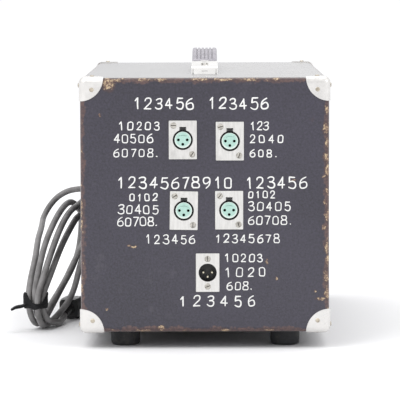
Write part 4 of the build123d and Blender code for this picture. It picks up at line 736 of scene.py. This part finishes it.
# ================================================================ the mains lead
ROUTE = [   # mm: out of the gland, down to the tie, three turns, and the tail to the plug
    (-137.0, 180.0, 128.6), (-147.5, 180.0, 128.2), (-158.6, 179.6, 124.9), (-168.2, 177.9, 118.7), (-175.2, 173.8, 110.6), (-179.6, 166.6, 103.4), (-181.8, 156.0, 98.4), (-182.2, 142.0, 95.4), (-181.6, 122.0, 93.4), (-181.0, 94.0, 91.6), (-180.6, 60.0, 89.4), (-180.5, 22.0, 86.2), (-179.8, -16.0, 80.4), (-179.6, -48.0, 72.6), (-180.8, -74.0, 62.8), (-182.6, -92.8, 52.0), (-183.9, -100.9, 39.6),
    (-183.9, -102.4, 27.4), (-182.2, -98.8, 16.6), (-179.3, -89.9, 8.1), (-175.2, -74.8, 4.0),
    (-169.5, -52.0, 7.5), (-165.0, -28.0, 15.5), (-159.5, 0.0, 25.5), (-153.0, 30.0, 37.0), (-145.5, 60.0, 50.0), (-139.7, 79.7, 66.1), (-136.9, 84.7, 85.7), (-135.8, 76.6, 103.2), (-136.2, 56.0, 114.0), (-136.5, 28.0, 116.8), (-139.7, 4.0, 125.1), (-144.1, -18.0, 129.1), (-148.8, -40.0, 126.8), (-154.3, -60.0, 119.4), (-159.8, -76.0, 108.7), (-165.0, -88.0, 96.1), (-169.0, -96.0, 83.2), (-172.0, -100.0, 70.0), (-174.7, -102.0, 57.6), (-176.9, -103.5, 45.2), (-177.3, -103.3, 34.4),
    (-176.7, -100.7, 25.5), (-175.7, -94.0, 17.0), (-173.5, -83.7, 11.8), (-169.9, -69.7, 11.4),
    (-163.3, -48.0, 22.4), (-156.7, -22.0, 32.4), (-149.9, 4.0, 43.7), (-144.0, 30.0, 56.3), (-137.8, 51.8, 68.1), (-131.3, 63.9, 82.8), (-127.8, 63.9, 101.8), (-127.2, 49.9, 119.9), (-127.6, 24.0, 129.5), (-129.6, 0.0, 130.0), (-135.2, -22.0, 125.6), (-140.8, -44.0, 123.0), (-146.4, -62.0, 116.0), (-151.5, -76.0, 106.1), (-156.2, -88.0, 94.0), (-160.6, -97.0, 81.2), (-164.8, -103.0, 68.2), (-168.6, -107.0, 56.0), (-172.1, -109.5, 44.8), (-174.4, -110.3, 33.5),
    (-174.3, -109.0, 22.9), (-173.0, -102.4, 11.7), (-170.5, -90.6, 4.5), (-166.6, -73.9, 3.8),
    (-161.5, -54.0, 5.7), (-154.3, -34.1, 12.2), (-146.4, -12.0, 21.2), (-140.6, 12.0, 34.2), (-137.0, 34.0, 52.0), (-131.3, 45.9, 70.0), (-127.4, 44.0, 90.0), (-127.2, 28.0, 106.0), (-129.4, 6.0, 114.0), (-136.1, -20.0, 113.6), (-141.1, -44.0, 105.5), (-146.3, -62.0, 95.9), (-151.2, -76.0, 85.5), (-155.7, -88.0, 74.0), (-160.0, -96.0, 62.2), (-164.2, -101.0, 51.2), (-168.1, -103.5, 41.0), (-169.6, -103.3, 31.4),
    (-169.1, -101.0, 22.9), (-167.3, -95.1, 14.4), (-163.7, -85.5, 8.6), (-157.6, -68.1, 4.5), (-153.0, -49.0, 4.0), (-150.6, -30.0, 6.6), (-149.9, -10.8, 10.6), (-148.2, 1.1, 11.2),
]
cu = bpy.data.curves.new("mains_flex", "CURVE")
cu.dimensions = "3D"
sp = cu.splines.new("NURBS")
sp.points.add(len(ROUTE) - 1)
for p, q in zip(sp.points, ROUTE):
    p.co = (q[0] * MM, q[1] * MM, q[2] * MM, 1.0)
sp.use_endpoint_u = True
sp.order_u = 3
sp.resolution_u = 10
cu.bevel_depth = 0.0033
cu.bevel_resolution = 4
cu.use_fill_caps = True
cu.materials.append(M["lead_grey"])
flex = bpy.data.objects.new("mains_flex", cu)
bpy.context.scene.collection.objects.link(flex)
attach(flex, "case")


def centre_line():
    thin = cu.copy()
    thin.bevel_depth = 0.0
    o = bpy.data.objects.new("line", thin)
    bpy.context.scene.collection.objects.link(o)
    bpy.context.view_layer.update()
    me = bpy.data.meshes.new_from_object(o)
    pts = [v.co.copy() for v in me.vertices]
    bpy.data.objects.remove(o)
    bpy.data.meshes.remove(me)
    if (pts[0] - Vector(ROUTE[0]) * MM).length > (pts[-1] - Vector(ROUTE[0]) * MM).length:
        pts.reverse()
    return pts


LINE = centre_line()
ARC = [0.0]
for a, b in zip(LINE, LINE[1:]):
    ARC.append(ARC[-1] + (b - a).length)
FLEX_LENGTH = ARC[-1]


def along(s):
    s = min(max(s, 0.0), ARC[-1])
    i = int(np.searchsorted(ARC, s))
    i = min(max(i, 1), len(ARC) - 1)
    f = (s - ARC[i - 1]) / max(ARC[i] - ARC[i - 1], 1e-9)
    return LINE[i - 1].lerp(LINE[i], f)


def boot(name, s0, s1, r0, r1, rings, mat, groove=0.00055):
    """tapered, ribbed sleeve on the lead between two lengths along it"""
    n = rings * 6
    path, rad = [], []
    for i in range(n + 1):
        t = i / n
        path.append(along(s0 + (s1 - s0) * t))
        r = r0 + (r1 - r0) * t
        ph = (t * rings) % 1.0
        if 0.12 < t < 0.97 and ph > 0.55:
            r -= groove * math.sin(math.pi * (ph - 0.55) / 0.45)
        if t < 0.04 or t > 0.98:
            r -= 0.0006
        rad.append(r)
    vs, fs = tube(path, rad, 28)
    return mesh_piece(name, vs, fs, mat)


plug_boot = boot("plug_boot", FLEX_LENGTH, FLEX_LENGTH - 0.026, 0.0059, 0.0040, 6, "plug_black")

# ---- hook-and-loop tie: a soft band drawn round the four strands, with its loose end out to the side
def strands_at(z):
    """where the strands in the tie cross a level"""
    out, prev = [], None
    for p in LINE:
        if prev is not None and p.y < -0.088 and prev.z != p.z and (prev.z - z) * (p.z - z) <= 0:
            out.append(prev.lerp(p, (prev.z - z) / (prev.z - p.z)))
        prev = p
    return out


def hull_band(points, r, n=72):
    """convex outline round circles of radius r at the points, as n evenly spaced points, with the direction outwards"""
    raw = []
    for k in range(720):
        a = 2 * math.pi * k / 720
        d = Vector((math.cos(a), math.sin(a), 0))
        best = max(points, key=lambda p: p.x * d.x + p.y * d.y)
        raw.append(Vector((best.x, best.y, 0)) + d * r)
    L = [0.0]
    for a, b in zip(raw, raw[1:] + raw[:1]):
        L.append(L[-1] + (b - a).length)
    out = []
    loop = raw + raw[:1]
    for j in range(n):
        s = L[-1] * j / n
        i = int(np.searchsorted(L, s, side="right")) - 1
        i = min(i, len(loop) - 2)
        f = (s - L[i]) / max(L[i + 1] - L[i], 1e-9)
        out.append(loop[i].lerp(loop[i + 1], f))
    return out


def tie():
    n = 96
    rows = 11
    zlo, zhi = 0.0240, 0.0402
    rings = [hull_band(strands_at(zlo + (zhi - zlo) * r / (rows - 1)), 0.0036, n) for r in range(rows)]
    mid = rings[rows // 2]
    cx = sum(p.x for p in mid) / n
    cy = sum(p.y for p in mid) / n
    rnd = random.Random(4)
    waves = [(rnd.uniform(0, 6.28), rnd.uniform(0.0002, 0.0005), k) for k in (2, 3, 5)]
    V, F = [], []
    for layer in (0, 1):
        for r in range(rows):
            t = r / (rows - 1)
            for j in range(n):
                a = 2 * math.pi * j / n
                front = max(0.0, -math.sin(a))
                top = zhi - 0.0100 * min(1.0, 1.25 * front) ** 0.9 + sum(w * math.sin(k * a + ph) for ph, w, k in waves)
                bot = zlo + sum(w * math.cos(k * a + ph) for ph, w, k in waves)
                z = bot + (top - bot) * t
                g = min(max((z - zlo) / (zhi - zlo), 0.0), 1.0) * (rows - 1)
                i0 = min(int(g), rows - 2)
                p = rings[i0][j].lerp(rings[i0 + 1][j], g - i0)
                d = Vector((p.x - cx, p.y - cy, 0)).normalized()
                off = 0.0 if layer == 0 else 0.0015 + 0.0003 * math.sin(5 * a + 6 * t) + 0.0007 * max(0.0, math.cos(a - math.pi)) ** 6
                off += 0.0005 * math.sin(math.pi * t)
                if layer == 1 and r in (0, rows - 1):
                    off -= 0.0006
                V.append(Vector((p.x, p.y, z)) + d * off)
    inner = rings[1]

    def idx(layer, r, j):
        return (layer * rows + r) * n + j % n
    for r in range(rows - 1):
        for j in range(n):
            F.append((idx(1, r, j), idx(1, r, j + 1), idx(1, r + 1, j + 1), idx(1, r + 1, j)))
            F.append((idx(0, r, j + 1), idx(0, r, j), idx(0, r + 1, j), idx(0, r + 1, j + 1)))
    for j in range(n):
        F.append((idx(0, 0, j), idx(0, 0, j + 1), idx(1, 0, j + 1), idx(1, 0, j)))
        F.append((idx(0, rows - 1, j + 1), idx(0, rows - 1, j), idx(1, rows - 1, j), idx(1, rows - 1, j + 1)))
    band = mesh_piece("tie_band", V, F, "tie_fabric")
    # the loose end leaves the left of the band and lies out flat, two layers thick
    xs = min(p.x for p in inner)
    line = [Vector((xs + 0.0010, cy - 0.001, 0.0285)), Vector((xs - 0.0012, cy - 0.0012, 0.0274)), Vector((xs - 0.0042, cy - 0.0014, 0.0264)),
            Vector((xs - 0.0078, cy - 0.0018, 0.0260)), Vector((xs - 0.0112, cy - 0.0022, 0.0252)), Vector((xs - 0.0146, cy - 0.0026, 0.0230))]
    line = smooth_line(line, 4)
    V, F = [], []
    m = len(line)
    w = 13
    for i, p in enumerate(line):
        t = i / (m - 1)
        a = line[max(i - 1, 0)]
        b = line[min(i + 1, m - 1)]
        tg = (b - a).normalized()
        side = Vector((0, 1, 0))
        nn = tg.cross(side).normalized()
        half = 0.0068 * (1 - 0.12 * t ** 6)
        th = 0.0015 - 0.0004 * t ** 8
        ring = []
        for k in range(w):
            s = -1 + 2 * k / (w - 1)
            ring.append(p + side * (s * half) + nn * (th * (1 - 0.55 * abs(s) ** 5) + 0.0003 * math.sin(7 * s + 9 * t)))
        for k in range(w):
            s = 1 - 2 * k / (w - 1)
            ring.append(p + side * (s * half) - nn * (th * (1 - 0.55 * abs(s) ** 5)))
        V += ring
    q = 2 * w
    for i in range(m - 1):
        for k in range(q):
            F.append((i * q + k, i * q + (k + 1) % q, (i + 1) * q + (k + 1) % q, (i + 1) * q + k))
    F.append(tuple(range(q))[::-1])
    F.append(tuple((m - 1) * q + k for k in range(q)))
    tail = mesh_piece("tie_tail", V, F, "tie_fabric")
    return band, tail


band, tie_tail = tie()
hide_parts("cable_tie")
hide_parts("mains_lead", "mains_lead_coil")
for s in N["mains_plug"].material_slots:
    s.material = M["plug_black"]

# ================================================================ studio
def floor_piece():
    me = bpy.data.meshes.new("studio_floor")
    s = 90.0
    me.from_pydata([(-s, -s, 0), (s, -s, 0), (s, s, 0), (-s, s, 0)], [], [(0, 1, 2, 3)])
    g = Graph("studio_white")
    g.set(Base_Color=(0.955, 0.955, 0.965, 1.0))
    g.b.inputs["Roughness"].default_value = 1.0
    g.b.inputs["Specular IOR Level"].default_value = 0.0
    me.materials.append(g.m)
    o = bpy.data.objects.new("studio_floor", me)
    bpy.context.scene.collection.objects.link(o)
    return o


floor_piece()
world = bpy.data.worlds.new("studio")
bpy.context.scene.world = world
world.use_nodes = True
world.node_tree.nodes["Background"].inputs[0].default_value = (1.0, 1.0, 1.005, 1.0)
world.node_tree.nodes["Background"].inputs[1].default_value = 1.06


def area(name, loc, target, size, power, size_y=None):
    l = bpy.data.lights.new(name, "AREA")
    l.shape = "RECTANGLE"
    l.size, l.size_y = size, size_y or size
    l.energy = power
    o = bpy.data.objects.new(name, l)
    o.location = loc
    o.rotation_euler = (Vector(target) - Vector(loc)).to_track_quat("-Z", "Y").to_euler()
    bpy.context.scene.collection.objects.link(o)
    return o


area("key", (-1.3, -1.9, 2.3), (0, 0, 0.12), 1.6, 26.0, 1.2)
area("fill", (1.9, -1.6, 1.5), (0, 0, 0.12), 1.6, 9.0, 1.2)
area("top", (0.1, 0.5, 2.6), (0, 0, 0.1), 1.8, 14.0, 1.8)

# camera: 3.25 m in front of the connector end, a little above the top
f_px, cx, cy_, cz_, pitch, yaw, roll = 3031.26623, 2.10844, -3243.5631, 372.302338, 0.0748984430, -0.00230839555, -0.00276237904
cam = bpy.data.cameras.new("camera")
cam.sensor_fit = "HORIZONTAL"
cam.sensor_width = 36.0
cam.lens = f_px * 36.0 / 400.0
cam.clip_end = 400.0
camera = bpy.data.objects.new("camera", cam)
bpy.context.scene.collection.objects.link(camera)
fwd = Vector((math.sin(yaw) * math.cos(pitch), math.cos(yaw) * math.cos(pitch), -math.sin(pitch)))
right = Vector((math.cos(yaw), -math.sin(yaw), 0))
up = right.cross(fwd)
r = right * math.cos(roll) + up * math.sin(roll)
u = -right * math.sin(roll) + up * math.cos(roll)
camera.matrix_world = Matrix(((r.x, u.x, -fwd.x, cx * MM), (r.y, u.y, -fwd.y, cy_ * MM), (r.z, u.z, -fwd.z, cz_ * MM), (0, 0, 0, 1)))
bpy.context.scene.camera = camera
bpy.context.scene.view_settings.view_transform = "Standard"
bpy.context.scene.view_settings.look = "None"
